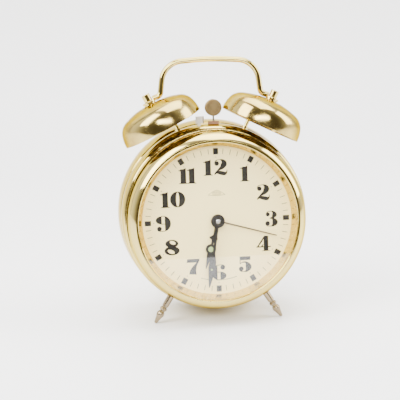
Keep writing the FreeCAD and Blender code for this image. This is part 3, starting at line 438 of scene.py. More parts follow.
def arc(first, middle, last, steps=10):
    """Points after first, on the circle through three points, up to last."""
    a, b, c = Vector(first), Vector(middle), Vector(last)
    d = 2 * (a.x * (b.y - c.y) + b.x * (c.y - a.y) + c.x * (a.y - b.y))
    ux = (a.length_squared * (b.y - c.y) + b.length_squared * (c.y - a.y) + c.length_squared * (a.y - b.y)) / d
    uy = (a.length_squared * (c.x - b.x) + b.length_squared * (a.x - c.x) + c.length_squared * (b.x - a.x)) / d
    centre = Vector((ux, uy))
    start, through, end = (math.atan2(p.y - uy, p.x - ux) for p in (a, b, c))
    turn, part = (end - start) % math.tau, (through - start) % math.tau
    if part > turn:
        turn -= math.tau
    radius = (a - centre).length
    return [(ux + radius * math.cos(start + turn * i / steps), uy + radius * math.sin(start + turn * i / steps))
            for i in range(1, steps + 1)]


def rounded(points, radius, steps=3, closed=True):
    """An outline with its corners rounded, less where the sides beside a corner are short."""
    out = []
    count = len(points)
    for i, point in enumerate(points):
        here = Vector(point)
        if not closed and i in (0, count - 1):
            out.append(tuple(here))
            continue
        before, after = Vector(points[i - 1]), Vector(points[(i + 1) % count])
        back, ahead = before - here, after - here
        if back.length < 1e-6 or ahead.length < 1e-6:
            continue
        half = back.angle(ahead) / 2
        if half > math.radians(84):
            out.append(tuple(here))
            continue
        cut = min(radius / math.tan(half), back.length * 0.45, ahead.length * 0.45)
        first, last = here + back.normalized() * cut, here + ahead.normalized() * cut
        for k in range(steps + 1):
            t = k / steps
            out.append(tuple((1 - t) ** 2 * first + 2 * t * (1 - t) * here + t * t * last))
    return out


def lathe(profile, steps=None):
    """A closed body of revolution about Z from a closed outline of (radius, height) points."""
    steps = steps or bpy.context.scene.clock_sizes.lathe_steps

    def build(bm):
        rings = []
        for radius, height in profile:
            if radius < 1e-5:
                rings.append([bm.verts.new((0, 0, height))])
            else:
                rings.append([bm.verts.new((radius * math.cos(math.tau * k / steps),
                                            radius * math.sin(math.tau * k / steps), height))
                              for k in range(steps)])
        for ring, following in zip(rings, rings[1:] + rings[:1]):
            if len(ring) == 1 and len(following) == 1:
                continue
            for k in range(steps):
                a, b = ring[k % len(ring)], ring[(k + 1) % len(ring)]
                c, d = following[(k + 1) % len(following)], following[k % len(following)]
                corners = [v for i, v in enumerate((a, b, c, d)) if v not in (a, b, c, d)[:i]]
                if len(corners) > 2:
                    bm.faces.new(corners)
    return mesh_from(build)


def plate(outlines, thickness, bevel=0.0):
    """Flat pieces drawn in XY from closed outlines, bevelled on the front, their backs at z = 0."""
    def build(bm):
        for points in outlines:
            face = bm.faces.new([bm.verts.new((x, y, 0)) for x, y in points])
            made = bmesh.ops.extrude_face_region(bm, geom=[face])["geom"]
            for v in made:
                if isinstance(v, bmesh.types.BMVert):
                    v.co.z += thickness
            if bevel:
                tops = [f for f in made if isinstance(f, bmesh.types.BMFace)]
                edges = [e for f in tops for e in f.edges]
                bmesh.ops.bevel(bm, geom=edges, offset=bevel, segments=2, affect="EDGES", profile=0.6)
    return mesh_from(build)


def tube(points, radius, sides=32):
    """A round wire along points that lie in the clock's XZ plane at one depth, with flat ends."""
    def build(bm):
        rings = []
        for i, point in enumerate(points):
            here = Vector(point)
            along = (Vector(points[min(i + 1, len(points) - 1)]) - Vector(points[max(i - 1, 0)])).normalized()
            side = Vector((0, 1, 0))
            across = along.cross(side)
            rings.append([bm.verts.new(here + radius * (math.cos(math.tau * k / sides) * across
                                                        + math.sin(math.tau * k / sides) * side))
                          for k in range(sides)])
        for ring, following in zip(rings, rings[1:]):
            for k in range(sides):
                bm.faces.new((ring[k], ring[(k + 1) % sides], following[(k + 1) % sides], following[k]))
        bm.faces.new(rings[0])
        bm.faces.new(rings[-1])
    return mesh_from(build)


def bent(points, bends, steps=10):
    """Straight runs with an arc of each radius at each inner point; points are (x, z)."""
    out = [tuple(points[0])]
    for i in range(1, len(points) - 1):
        here = Vector(points[i])
        back, ahead = (Vector(points[i - 1]) - here).normalized(), (Vector(points[i + 1]) - here).normalized()
        half = back.angle(ahead) / 2
        cut = bends[i - 1] / math.tan(half)
        middle = here + (back + ahead).normalized() * (bends[i - 1] / math.sin(half) - bends[i - 1])
        first = here + back * cut
        out.append(tuple(first))
        out += arc(first, middle, here + ahead * cut, steps)
    out.append(tuple(points[-1]))
    return out


# ------------------------------------------------------------------ geometry nodes
def ring_tree():
    """Boxes set round a circle, each long side along the radius; every nth may be left out."""
    tree = group_tree("ring_of_bars", "GeometryNodeTree", [
        ("Count", "NodeSocketInt", 60), ("Leave Out Every", "NodeSocketInt", 0),
        ("Radius", "NodeSocketFloat", 44.0), ("Length", "NodeSocketFloat", 3.0),
        ("Width", "NodeSocketFloat", 0.3), ("Thickness", "NodeSocketFloat", 0.05),
        ("Material", "NodeSocketMaterial", None)], [("Geometry", "NodeSocketGeometry", None)])
    n = Nodes(tree)
    given = tree.nodes.new("NodeGroupInput").outputs
    circle = n.add("GeometryNodeMeshCircle", Vertices=given["Count"], Radius=given["Radius"])
    bar_size = n.add("ShaderNodeCombineXYZ", X=given["Length"], Y=given["Width"], Z=given["Thickness"])
    bar = n.add("GeometryNodeMeshCube", Size=bar_size.outputs[0])
    turn = n.add("FunctionNodeAlignRotationToVector", {"axis": "X"},
                 Vector=n.add("GeometryNodeInputPosition").outputs[0])
    every = n.math("MAXIMUM", given["Leave Out Every"], 1.0)
    place_in_turn = n.math("MODULO", n.add("GeometryNodeInputIndex").outputs[0], every)
    none_left_out = n.math("LESS_THAN", given["Leave Out Every"], 0.5)
    keep = n.math("GREATER_THAN", n.math("ADD", place_in_turn, none_left_out), 0.5)
    spread = n.add("GeometryNodeInstanceOnPoints", Points=circle.outputs[0], Instance=bar.outputs[0],
                   Selection=keep, Rotation=turn.outputs[0])
    real = n.add("GeometryNodeRealizeInstances", Geometry=spread.outputs[0])
    painted_bars = n.add("GeometryNodeSetMaterial", Geometry=real.outputs[0], Material=given["Material"])
    out = tree.nodes.new("NodeGroupOutput")
    n.feed(out, "Geometry", painted_bars.outputs[0])
    return tree


def ring_of_bars(count, leave_out, radius, length, width, thickness, material):
    """A plain mesh of bars round a circle in XY, in the units given."""
    if "ring_of_bars" not in bpy.data.node_groups:
        ring_tree()
    tree = bpy.data.node_groups["ring_of_bars"]
    values = {"Count": count, "Leave Out Every": leave_out, "Radius": radius, "Length": length,
              "Width": width, "Thickness": thickness, "Material": MATERIALS[material]}
    holder = bpy.data.objects.new("bars", bpy.data.meshes.new("bars"))
    bpy.context.scene.collection.objects.link(holder)
    modifier = holder.modifiers.new("bars", "NODES")
    modifier.node_group = tree
    for item in tree.interface.items_tree:
        if item.in_out == "INPUT":
            modifier[item.identifier] = values[item.name]
    mesh = evaluated_mesh(holder)
    bpy.data.objects.remove(holder)
    return mesh


# ------------------------------------------------------------------ numerals
def ribbon(points, steps=6):
    """A stroke of changing width through (x, y, width) points, as an outline."""
    dense = []
    for i in range(len(points) - 1):
        p0, p1 = Vector(points[max(i - 1, 0)]), Vector(points[i])
        p2, p3 = Vector(points[i + 1]), Vector(points[min(i + 2, len(points) - 1)])
        for k in range(steps + (i == len(points) - 2)):
            t = k / steps
            dense.append(0.5 * (2 * p1 + (p2 - p0) * t + (2 * p0 - 5 * p1 + 4 * p2 - p3) * t * t
                                + (3 * p1 - p0 - 3 * p2 + p3) * t ** 3))
    left, right = [], []
    for i, p in enumerate(dense):
        ahead, behind = dense[min(i + 1, len(dense) - 1)], dense[max(i - 1, 0)]
        along = Vector((ahead.x - behind.x, ahead.y - behind.y)).normalized()
        across = Vector((-along.y, along.x)) * max(p.z, 0.02) / 2
        left.append((p.x + across.x, p.y + across.y))
        right.append((p.x - across.x, p.y - across.y))
    return [[left[i], left[i + 1], right[i + 1], right[i]] for i in range(len(left) - 1)]


def ball(x, y, radius, steps=20):
    """A round dot."""
    return [[(x + radius * math.cos(math.tau * k / steps), y + radius * math.sin(math.tau * k / steps))
             for k in range(steps)]]


def bowl(x, y, outer, inner, steps=36):
    """A closed loop, thick at the sides and thin above and below: outer and inner are half sizes."""
    def spot(sizes, k):
        a = math.tau * k / steps
        return (x + sizes[0] * math.cos(a), y + sizes[1] * math.sin(a))
    return [[spot(outer, k), spot(outer, k + 1), spot(inner, k + 1), spot(inner, k)] for k in range(steps)]


def bar(x0, y0, x1, y1):
    """A rectangle between two corners."""
    return [[(x0, y0), (x1, y0), (x1, y1), (x0, y1)]]


def half_round(x, y, half_width, half_height, low, high, close=()):
    """Part of an ellipse from angle low to high in degrees, closed over the points in close."""
    angles = [math.radians(low + (high - low) * k / 24) for k in range(25)]
    return [[(x + half_width * math.cos(a), y + half_height * math.sin(a)) for a in angles] + list(close)]


def tilted_bowl(x, y, outer, inner, tilt, shift=(0.0, 0.0), steps=36):
    """A closed loop whose counter is a tilted ellipse."""
    c, s = math.cos(math.radians(tilt)), math.sin(math.radians(tilt))
    ring = [math.tau * k / steps for k in range(steps + 1)]
    outside = [(x + outer[0] * math.cos(a), y + outer[1] * math.sin(a)) for a in ring]
    inside = [(x + shift[0] + inner[0] * math.cos(a) * c - inner[1] * math.sin(a) * s,
               y + shift[1] + inner[0] * math.cos(a) * s + inner[1] * math.sin(a) * c)
              for a in (r - math.radians(tilt) for r in ring)]
    return [[outside[k], outside[k + 1], inside[k + 1], inside[k]] for k in range(steps)]


def digit_shapes(digit):
    """A fat-faced numeral, one unit high, centred on x = 0."""
    if digit == "1":
        return (bar(-0.17, 0.03, 0.18, 0.93) + bar(-0.28, 0.0, 0.29, 0.035)
                + [[(0.18, 0.90), (0.18, 1.0), (-0.02, 0.92), (-0.29, 0.86), (-0.29, 0.81), (-0.17, 0.80),
                    (-0.17, 0.76)]]
                + [[(-0.26, 0.03), (-0.17, 0.03), (-0.17, 0.09)], [(0.18, 0.03), (0.27, 0.03), (0.18, 0.09)]])
    if digit == "2":
        return (ball(-0.25, 0.74, 0.145)
                + ribbon([(-0.39, 0.76, 0.05), (-0.31, 0.92, 0.05), (-0.04, 0.98, 0.05), (0.14, 0.89, 0.22),
                          (0.20, 0.71, 0.38), (0.08, 0.50, 0.26), (-0.14, 0.34, 0.12), (-0.33, 0.18, 0.05),
                          (-0.40, 0.02, 0.04)])
                + ribbon([(-0.40, 0.06, 0.06), (-0.24, 0.19, 0.18), (0.04, 0.13, 0.25), (0.25, 0.10, 0.22),
                          (0.37, 0.20, 0.08), (0.39, 0.34, 0.03)]))
    if digit == "3":
        return (ball(-0.23, 0.78, 0.13) + ball(-0.25, 0.20, 0.15)
                + ribbon([(-0.35, 0.80, 0.04), (-0.24, 0.94, 0.05), (0.0, 0.98, 0.05), (0.15, 0.88, 0.20),
                          (0.19, 0.74, 0.32), (0.08, 0.58, 0.14), (-0.12, 0.53, 0.05)])
                + ribbon([(-0.12, 0.53, 0.05), (0.08, 0.50, 0.13), (0.22, 0.28, 0.38), (0.12, 0.09, 0.20),
                          (-0.05, 0.02, 0.05), (-0.28, 0.05, 0.05), (-0.39, 0.18, 0.04)]))
    if digit == "4":
        return (bar(0.0, 0.03, 0.30, 0.90) + bar(-0.12, 0.0, 0.43, 0.035) + bar(-0.47, 0.24, 0.47, 0.31)
                + [[(0.0, 0.88), (0.30, 0.88), (0.30, 0.97), (0.05, 1.0)]]
                + [[(-0.47, 0.24), (-0.38, 0.24), (-0.10, 0.60), (0.08, 0.95), (0.05, 1.0), (-0.16, 0.70)]]
                + [[(-0.16, 0.31), (-0.06, 0.31), (-0.02, 0.42), (-0.08, 0.44)]])
    if digit == "5":
        return (ball(-0.25, 0.20, 0.15) + bar(-0.34, 0.50, -0.29, 0.97)
                + [[(-0.34, 1.0), (0.36, 1.0), (0.34, 0.76), (-0.34, 0.76)]]
                + ribbon([(-0.31, 0.53, 0.04), (-0.16, 0.62, 0.06), (0.08, 0.60, 0.14), (0.22, 0.33, 0.39),
                          (0.12, 0.09, 0.20), (-0.06, 0.02, 0.05), (-0.28, 0.05, 0.05), (-0.39, 0.18, 0.04)]))
    if digit == "9":
        return (half_round(-0.02, 0.5, 0.49, 0.5, -90, 90, [(0.09, 0.95), (0.09, 0.05)])
                + half_round(-0.10, 0.72, 0.38, 0.26, 90, 270) + bar(-0.12, 0.955, 0.11, 1.0)
                + bar(-0.12, 0.46, 0.11, 0.50) + ball(-0.26, 0.18, 0.15)
                + ribbon([(-0.40, 0.15, 0.04), (-0.30, 0.04, 0.05), (-0.10, 0.015, 0.04), (0.05, 0.03, 0.05)]))
    if digit == "7":
        return ([[(-0.38, 1.0), (0.41, 1.0), (0.39, 0.86), (0.30, 0.77), (-0.40, 0.77), (-0.43, 0.70)]]
                + ribbon([(0.35, 0.90, 0.10), (0.20, 0.66, 0.14), (0.06, 0.42, 0.28), (-0.02, 0.20, 0.40),
                          (-0.04, 0.0, 0.46)]))
    if digit == "8":
        return (tilted_bowl(0.0, 0.745, (0.41, 0.255), (0.19, 0.105), -24, (0.05, 0.06))
                + tilted_bowl(0.0, 0.29, (0.48, 0.29), (0.23, 0.115), -24, (-0.06, -0.06)))
    if digit == "6":
        return [[(-x, 1.0 - y) for x, y in shape] for shape in digit_shapes("9")]
    return bowl(0.0, 0.5, (0.48, 0.5), (0.10, 0.44))


def numeral_mesh(text, height, thickness):
    """A one or two figure numeral centred on the origin of XY."""
    spacing = {"10": 0.79, "11": 0.53, "12": 0.81}.get(text, 0.0)
    outlines = []
    for i, digit in enumerate(text):
        shift = (i - (len(text) - 1) / 2) * spacing
        outlines += [[((x + shift) * height, (y - 0.5) * height) for x, y in shape]
                     for shape in digit_shapes(digit)]
    return plate(outlines, thickness)


# ------------------------------------------------------------------ outlines shared by pieces
def bell_side(radius, height, flat):
    """A bell's outline from its rim up its side, round its shoulder and over its dome."""
    points = [(radius, 0.0)]
    for middle, end in (((0.990, 0.24), (0.955, 0.46)), ((0.855, 0.70), (0.690, 0.845))):
        points += arc(points[-1], (radius * middle[0], height * middle[1]),
                      (radius * end[0], height * end[1]), 12)
    return points + arc(points[-1], (radius * 0.440, height * 0.955), (flat, height), 12)


# Centres of the numerals one to twelve, (x, z) on the dial, in millimetres.
NUMERAL_PLACES = ((18.05, 29.2), (29.65, 16.75), (34.55, -0.3), (29.2, -16.0), (16.95, -28.85),
                  (0.0, -33.45), (-16.15, -28.95), (-29.3, -15.95), (-34.15, -0.5),
                  (-28.65, 14.5), (-18.1, 29.15), (-1.0, 33.75))

BELL_RADIUS, BELL_HEIGHT, BELL_WALL, BELL_FLAT = 26.6, 17.3, 0.9, 4.7
BELL_TILT, BELL_OFFSET, BELL_LEVEL = 26.4, 31.196, 58.3
BELL_PLACE = (depth("hammer_head", min) + depth("hammer_head", max)) / 2
SHELF = BELL_HEIGHT + 0.6                       # top of the washer, under the handle's eyelet
KNOB_BASE = SHELF + 1.4


def bell_spot(side, sideways, height):
    """(x, z) of a point from a bell's frame: sideways outward in its rim plane, height on its axis."""
    t = math.radians(BELL_TILT)
    return (side * (BELL_OFFSET + sideways * math.cos(t) + height * math.sin(t)),
            BELL_LEVEL - sideways * math.sin(t) + height * math.cos(t))


def bell_frame(side):
    """Where a bell's rim plane lies: side is -1 on the left and 1 on the right."""
    x, z = bell_spot(side, 0, 0)
    return Matrix.Translation((x, BELL_PLACE, z)) @ Matrix.Rotation(math.radians(side * BELL_TILT), 4, "Y")


# ------------------------------------------------------------------ operators
class ClockOperator:
    bl_options = {"REGISTER"}

    def execute(self, context):
        self.make(context.scene.clock_sizes, context.scene.clock_colours)
        return {"FINISHED"}


class CLOCK_OT_stage(ClockOperator, bpy.types.Operator):
    """Pale floor and wall, soft lamps, and the camera"""
    bl_idname = "clock.stage"
    bl_label = "Stage"

    def make(self, sizes, colours):
        self.floor()
        self.lamps()
        self.camera()

    def floor(self):
        wall, front, side, high, bend = 0.62, -0.52, 1.6, 1.8, 0.18
        profile = [(front, 0.0), (wall - bend, 0.0)]
        profile += arc((wall - bend, 0.0), (wall - bend * 0.293, bend * 0.293), (wall, bend), 16)
        profile += [(wall, high)]

        def build(bm):
            rows = [[bm.verts.new((x, y, z)) for x in (-side, side)] for y, z in profile]
            for low, top in zip(rows, rows[1:]):
                bm.faces.new((low[0], low[1], top[1], top[0]))
        mesh = mesh_from(build)
        mesh.shade_smooth()
        material = bpy.data.materials.new("stage_white")
        material.use_nodes = True
        shader = material.node_tree.nodes["Principled BSDF"]
        shader.inputs["Base Color"].default_value = (0.90, 0.895, 0.89, 1)
        shader.inputs["Roughness"].default_value = 0.38
        shader.inputs["Specular IOR Level"].default_value = 0.35
        mesh.materials.append(material)
        sweep = bpy.data.objects.new("stage_sweep", mesh)
        bpy.context.scene.collection.objects.link(sweep)

    def lamps(self):
        for name, place, width, height, power in (("lamp_left", (-0.75, -0.35, 0.85), 0.6, 0.9, 26.0),
                                                  ("lamp_top", (0.15, 0.10, 1.15), 1.1, 0.9, 30.0),
                                                  ("lamp_right", (0.95, -0.10, 0.55), 0.5, 0.8, 14.0),
                                                  ("lamp_front", (0.0, -1.15, 0.75), 0.9, 0.25, 18.0)):
            data = bpy.data.lights.new(name, "AREA")
            data.shape, data.size, data.size_y, data.energy = "RECTANGLE", width, height, power
            lamp = bpy.data.objects.new(name, data)
            lamp.location = place
            lamp.rotation_euler = (Vector((0, 0, 0.07)) - Vector(place)).to_track_quat("-Z", "Y").to_euler()
            bpy.context.scene.collection.objects.link(lamp)
        world = bpy.data.worlds.new("studio")
        bpy.context.scene.world = world
        world.use_nodes = True
        n = Nodes(world.node_tree)
        sky = world.node_tree.nodes["Background"]
        direction = n.add("ShaderNodeSeparateXYZ", Vector=n.add("ShaderNodeTexCoord").outputs["Generated"])
        behind = n.band(direction.outputs["Y"], -0.75, 0.35)
        n.feed(sky, "Color", n.blend(behind, (0.07, 0.06, 0.05, 1), (0.98, 0.98, 1.0, 1)))
        sky.inputs["Strength"].default_value = 2.2

    def camera(self):
        data = bpy.data.cameras.new("camera")
        data.sensor_width, data.lens = 36.0, 81.0
        azimuth, elevation, distance, roll = -6.52, 9.21, 569.2, -1.72
        a, e = math.radians(azimuth), math.radians(elevation)
        place = Vector((math.sin(a) * math.cos(e), -math.cos(a) * math.cos(e), math.sin(e))) * distance
        ahead = (Vector((-10.6, 0.0, 13.5)) - place).normalized()
        right = ahead.cross(Vector((0, 0, 1))).normalized()
        top = right.cross(ahead)
        c, s = math.cos(math.radians(roll)), math.sin(math.radians(roll))
        turned = Matrix((right * c + top * s, top * c - right * s, -ahead)).transposed()
        camera = bpy.data.objects.new("camera", data)
        camera.matrix_world = (Matrix.Translation(CLOCK @ place)
                               @ (CLOCK.to_3x3().normalized() @ turned).to_4x4())
        bpy.context.scene.collection.objects.link(camera)
        bpy.context.scene.camera = camera


class CLOCK_OT_finishes(ClockOperator, bpy.types.Operator):
    """Every finish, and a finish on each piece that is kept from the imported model"""
    bl_idname = "clock.finishes"
    bl_label = "Finishes"

    def make(self, sizes, colours):
        MATERIALS.update(make_materials(colours))
        slots = {s["node"]: s["material_slot"] for s in frame["record"]["subparts"]}
        for name, node in frame["nodes"].items():
            wanted = {"black_enamel": "hand_enamel"}.get(slots[name], slots[name])
            wanted = {"hammer_guard": "fibre", "alarm_stop_lever": "pale_nickel"}.get(name, wanted)
            node.data.materials.clear()
            node.data.materials.append(MATERIALS[wanted])


class CLOCK_OT_case(ClockOperator, bpy.types.Operator):
    """The case: groove, two convex bands and a rolled rear edge, with slots for hammer and stop lever"""
    bl_idname = "clock.case"
    bl_label = "Case"

    def make(self, sizes, colours):
        outside = [(54.9, 0.6), (54.9, 4.4), (57.3, 4.4), (57.3, 9.4)]
        outside += arc((57.3, 9.4), (58.6, 10.1), (59.2, 12.0), 6)
        outside += arc((59.2, 12.0), (60.15, 18.6), (60.3, 24.6), 14)
        outside += [(59.75, 25.2), (60.7, 26.0)]
        outside += arc((60.7, 26.0), (61.85, 35.6), (62.2, 45.2), 16)
        outside += arc((62.2, 45.2), (61.87, 45.97), (61.1, 46.3), 6)
        inside = [(60.3, 46.3), (60.3, 44.0), (55.5, 44.0), (55.5, 43.2), (60.3, 43.2), (59.9, 26.0),
                  (59.0, 25.2), (58.4, 12.0), (56.5, 9.4), (56.5, 5.2), (54.1, 5.2), (54.1, 0.6)]
        profile = rounded(outside + inside, sizes.edge_round / MM, 2)
        shell = self.cut_slots(placed(lathe(profile, RING_STEPS), TURNED))
        finish_piece("case_shell", shell, "case", "gold_plate", ["case_body"], 24.0)

    def cut_slots(self, shell):
        """Cuts the hammer's and the stop lever's slots out of the case's top."""
        lever = depth("alarm_stop_lever", min) + 0.4
        cutters = []
        for x0, x1, middle, half in ((-2.6, 4.9, BELL_PLACE, 1.5), (-9.9, -4.8, lever, 0.8)):
            points = rounded([(x0, middle - half), (x1, middle - half), (x1, middle + half),
                              (x0, middle + half)], 0.75, 6)
            cutters.append(placed(plate([points], 12.0), Matrix.Translation((0, 0, 53))))
        return difference(shell, joined(*cutters))


class CLOCK_OT_bezel(ClockOperator, bpy.types.Operator):
    """Bezel, reflector ring and glass"""
    bl_idname = "clock.bezel"
    bl_label = "Bezel and glass"

    def make(self, sizes, colours):
        edge = sizes.edge_round / MM
        outside = [(49.9, -9.0), (50.3, -9.3), (51.4, -9.3)]
        outside += arc((51.4, -9.3), (55.16, -5.77), (56.5, -0.6), 18)
        outside += [(56.6, 4.1)]
        inside = [(55.8, 4.1), (55.8, -0.6), (54.3, -5.4), (51.6, -8.2), (49.9, -8.2)]
        bezel = placed(lathe(rounded(outside + inside, edge, 3), RING_STEPS), TURNED)
        finish_piece("bezel_ring", bezel, "case", "gold_plate", ["bezel"], 24.0)
        front = depth("crystal", max) + 0.05
        ring = rounded([(47.3, 0.0), (50.5, front), (51.5, front), (51.5, front + 0.8), (48.4, 0.0)], 0.15, 3)
        finish_piece("reflector", placed(lathe(ring, RING_STEPS), TURNED), "case", "gold_satin",
                     ["reflector_ring"], 24.0)
        low, high = depth("crystal", min), depth("crystal", max)
        glass = rounded([(0.0, low), (51.4, low), (51.4, high), (0.0, high)], 0.2, 3, closed=False)
        finish_piece("crystal_glass", placed(lathe(glass, 128), TURNED), "case", "crystal",
                     ["crystal"], 30.0)


class CLOCK_OT_dial(ClockOperator, bpy.types.Operator):
    """Dial with hour marks, minute marks, dots and numerals"""
    bl_idname = "clock.dial"
    bl_label = "Dial"

    def make(self, sizes, colours):
        ink = sizes.ink_thickness / MM
        circle = sizes.mark_circle / MM
        face = FACING @ Matrix.Translation((0, 0, 0.02))
        hours = ring_of_bars(12, 0, circle, sizes.hour_mark_length / MM, sizes.hour_mark_width / MM, ink, "ink")
        finish_piece("hour_marks", placed(hours, face), "case", [])
        minutes = ring_of_bars(60, 5, circle, sizes.minute_mark_length / MM, sizes.minute_mark_width / MM, ink,
                               "fine_print")
        finish_piece("minute_marks", placed(minutes, face), "case", [])
        dots = ring_of_bars(12, 0, circle * 0.915, 0.5, 0.5, ink, "fine_print")
        finish_piece("hour_dots", placed(dots, face), "case", [])
        for hour, (x, z) in enumerate(NUMERAL_PLACES, 1):
            mesh = numeral_mesh(str(hour), sizes.numeral_height / MM, ink)
            mesh.transform(FACING @ Matrix.Translation((x, z, 0.0)))
            finish_piece("numeral_%02d" % hour, mesh, "case", "ink")
        self.ornaments(ink)
        back = depth("dial", max)
        tin = rounded([(2.8, 0.0), (55.0, 0.0), (55.0, back), (2.8, back)], 0.1, 2)
        finish_piece("dial_tin", placed(lathe(tin, 192), TURNED), "case", "dial_paint", ["dial"])

    def ornaments(self, ink):
        """A small outline leaf under the twelve and a row of fine dashes under the six."""
        leaf = ribbon([(-5.3, -1.2, 0.20), (-3.4, 0.2, 0.22), (-1.6, 1.2, 0.22), (0.0, 1.7, 0.24),
                       (1.6, 1.2, 0.22), (3.4, 0.2, 0.22), (5.3, -1.2, 0.20)])
        leaf += ribbon([(-5.3, -1.2, 0.20), (-2.0, -1.5, 0.22), (2.0, -1.5, 0.22), (5.3, -1.2, 0.20)])
        for k in range(-3, 4):
            leaf += ribbon([(0.62 * k, -1.4, 0.20), (0.85 * k, -0.2, 0.24),
                            (0.5 * k, 1.2 - 0.15 * abs(k), 0.18)])
        row = []
        for k in range(-17, 18):
            if abs(k + 5) > 2:
                a = math.radians(270 + 1.0 * k)
                x, y = 38.3 * math.cos(a), 38.3 * math.sin(a)
                row.append([(x - 0.2, y - 0.28), (x + 0.2, y - 0.28), (x + 0.2, y + 0.28), (x - 0.2, y + 0.28)])
        for name, shapes, height in (("dial_leaf", leaf, 17.6), ("dial_dashes", row, 0.0)):
            mesh = plate(shapes, ink)
            mesh.transform(FACING @ Matrix.Translation((0, height, 0)))
            finish_piece(name, mesh, "case", "fine_print")


HOUR_ANGLE, MINUTE_ANGLE, ALARM_ANGLE = 195.5, 189.0, 106.2     # clockwise from the twelve


class CLOCK_OT_hands(ClockOperator, bpy.types.Operator):
    """Hour, minute and alarm hands with the hand nut"""
    bl_idname = "clock.hands"
    bl_label = "Hands"

    def make(self, sizes, colours):
        bevel = sizes.hand_bevel / MM
        hour = self.outline([(1.05, 4.0), (0.75, 8.6), (1.0, 9.4), (2.9, 11.0), (2.2, 11.9), (1.2, 12.2),
                             (0.85, 13.2), (0.85, 15.1)])
        self.hand("hour_hand", [self.with_ring(hour), self.tip(21.4, 31.2, 1.75)], 4.4, HOUR_ANGLE, bevel,
                  "hour_hand", "hand_enamel", "black_enamel", 1.62)
        minute = self.outline([(0.8, 3.9), (0.75, 14.0), (0.85, 20.5), (2.1, 25.5), (2.3, 30.0), (1.4, 36.0),
                               (0.3, 42.6)])
        self.hand("minute_hand", [minute], 4.2, MINUTE_ANGLE, bevel, "minute_hand", "hand_enamel",
                  "black_enamel", 0.82)
        alarm = self.outline([(0.5, 3.2), (0.34, 38.8), (0.15, 39.2)])
        self.hand("alarm_hand", [alarm], 3.6, ALARM_ANGLE, bevel * 0.6, "alarm_hand", "browned_brass",
                  "aged_brass", 2.42)
        self.spot("hour_lume", "hour_hand", 18.4, sizes.lume_radius / MM, HOUR_ANGLE)
        self.spot("minute_lume", "minute_hand", 31.0, 0.6, MINUTE_ANGLE)
        top = depth("minute_hand", min)
        nut = rounded([(0.0, top - 1.2), (0.8, top - 1.15), (1.5, top - 0.6), (1.5, top), (0.0, top)], 0.2, 4,
                      closed=False)
        finish_piece("centre_nut", placed(lathe(nut, 48), TURNED), "minute_hand", "steel",
                     ["hand_nut"])

    def outline(self, half):
        """A closed outline from its right half, mirrored left; a last point on the middle stays single."""
        single = abs(half[-1][0]) < 1e-6
        return half + [(-x, y) for x, y in reversed(half[:-1] if single else half)]

    def with_ring(self, stem):
        """The stem's outline continued round the ring that carries the luminous spot."""
        right = [p for p in stem if p[0] > 0]
        ring = [(3.3 * math.cos(math.radians(a)), 18.4 + 3.3 * math.sin(math.radians(a)))
                for a in range(-72, 91, 9)]
        return self.outline(right + ring)

    def tip(self, start, end, width):
        """The pointed end of a hand, from its half width at the start."""
        return [(width, start), (0.2, end), (-0.2, end), (-width, start)]

    def hand(self, name, outlines, hub, angle, bevel, node, material, slot, bore):
        """A flat hand and its hub, turned clockwise from the twelve."""
        front, back = depth(node, min), depth(node, max)
        flat = plate(outlines, back - front, bevel)
        disc = rounded([(bore, 0.0), (hub, 0.0), (hub, back - front), (bore, back - front)], bevel * 1.5, 3)
        mesh = joined(flat, lathe(disc, 72))
        mesh.transform(Matrix.Rotation(math.radians(angle), 4, "Y") @ Matrix.Translation((0, back, 0)) @ FACING)
        finish_piece(name + "_blade", mesh, name, material, [node])

    def spot(self, name, node, distance, radius, angle):
        """A raised drop of luminous paint."""
        drop = lathe([(0.0, 0.0), (radius, 0.0), (radius * 0.92, 0.12), (radius * 0.6, 0.2), (0.0, 0.22)], 32)
        place = Matrix.Translation((0, depth(node, min) - 0.005, distance))
        drop.transform(Matrix.Rotation(math.radians(angle), 4, "Y") @ place @ FACING)
        finish_piece(name, drop, node, "lume")


class CLOCK_OT_bells(ClockOperator, bpy.types.Operator):
    """Both bells and the knob nuts that hold them"""
    bl_idname = "clock.bells"
    bl_label = "Bells"

    def make(self, sizes, colours):
        edge = sizes.edge_round / MM
        for name, side in (("left", -1), ("right", 1)):
            outer = bell_side(BELL_RADIUS, BELL_HEIGHT, BELL_FLAT)
            inner = bell_side(BELL_RADIUS - BELL_WALL, BELL_HEIGHT - BELL_WALL, BELL_FLAT)
            shell = outer + [(1.45, BELL_HEIGHT), (1.45, BELL_HEIGHT - BELL_WALL)] + inner[::-1]
            finish_piece("bell_%s_shell" % name, placed(lathe(rounded(shell, edge, 3)), bell_frame(side)),
                         "case", "bell_gold", ["bell_" + name], 28.0)
            base, top = KNOB_BASE, KNOB_BASE + 4.8
            nut = rounded([(0.0, base), (2.6, base), (2.6, top), (0.0, top)], 0.35, 4, closed=False)
            mesh = self.slotted(placed(lathe(nut, 64), bell_frame(side)), side, top)
            finish_piece("knob_nut_%s_turned" % name, mesh, "case", "gold_plate",
                         ["knob_nut_" + name], 28.0)

    def slotted(self, mesh, side, top):
        """Cuts a screwdriver slot across a knob nut's top."""
        cutter = plate([[(-4, -0.4), (4, -0.4), (4, 0.4), (-4, 0.4)]], 2.0)
        cutter.transform(bell_frame(side) @ Matrix.Translation((0, 0, top - 1.0)))
        return difference(mesh, cutter)


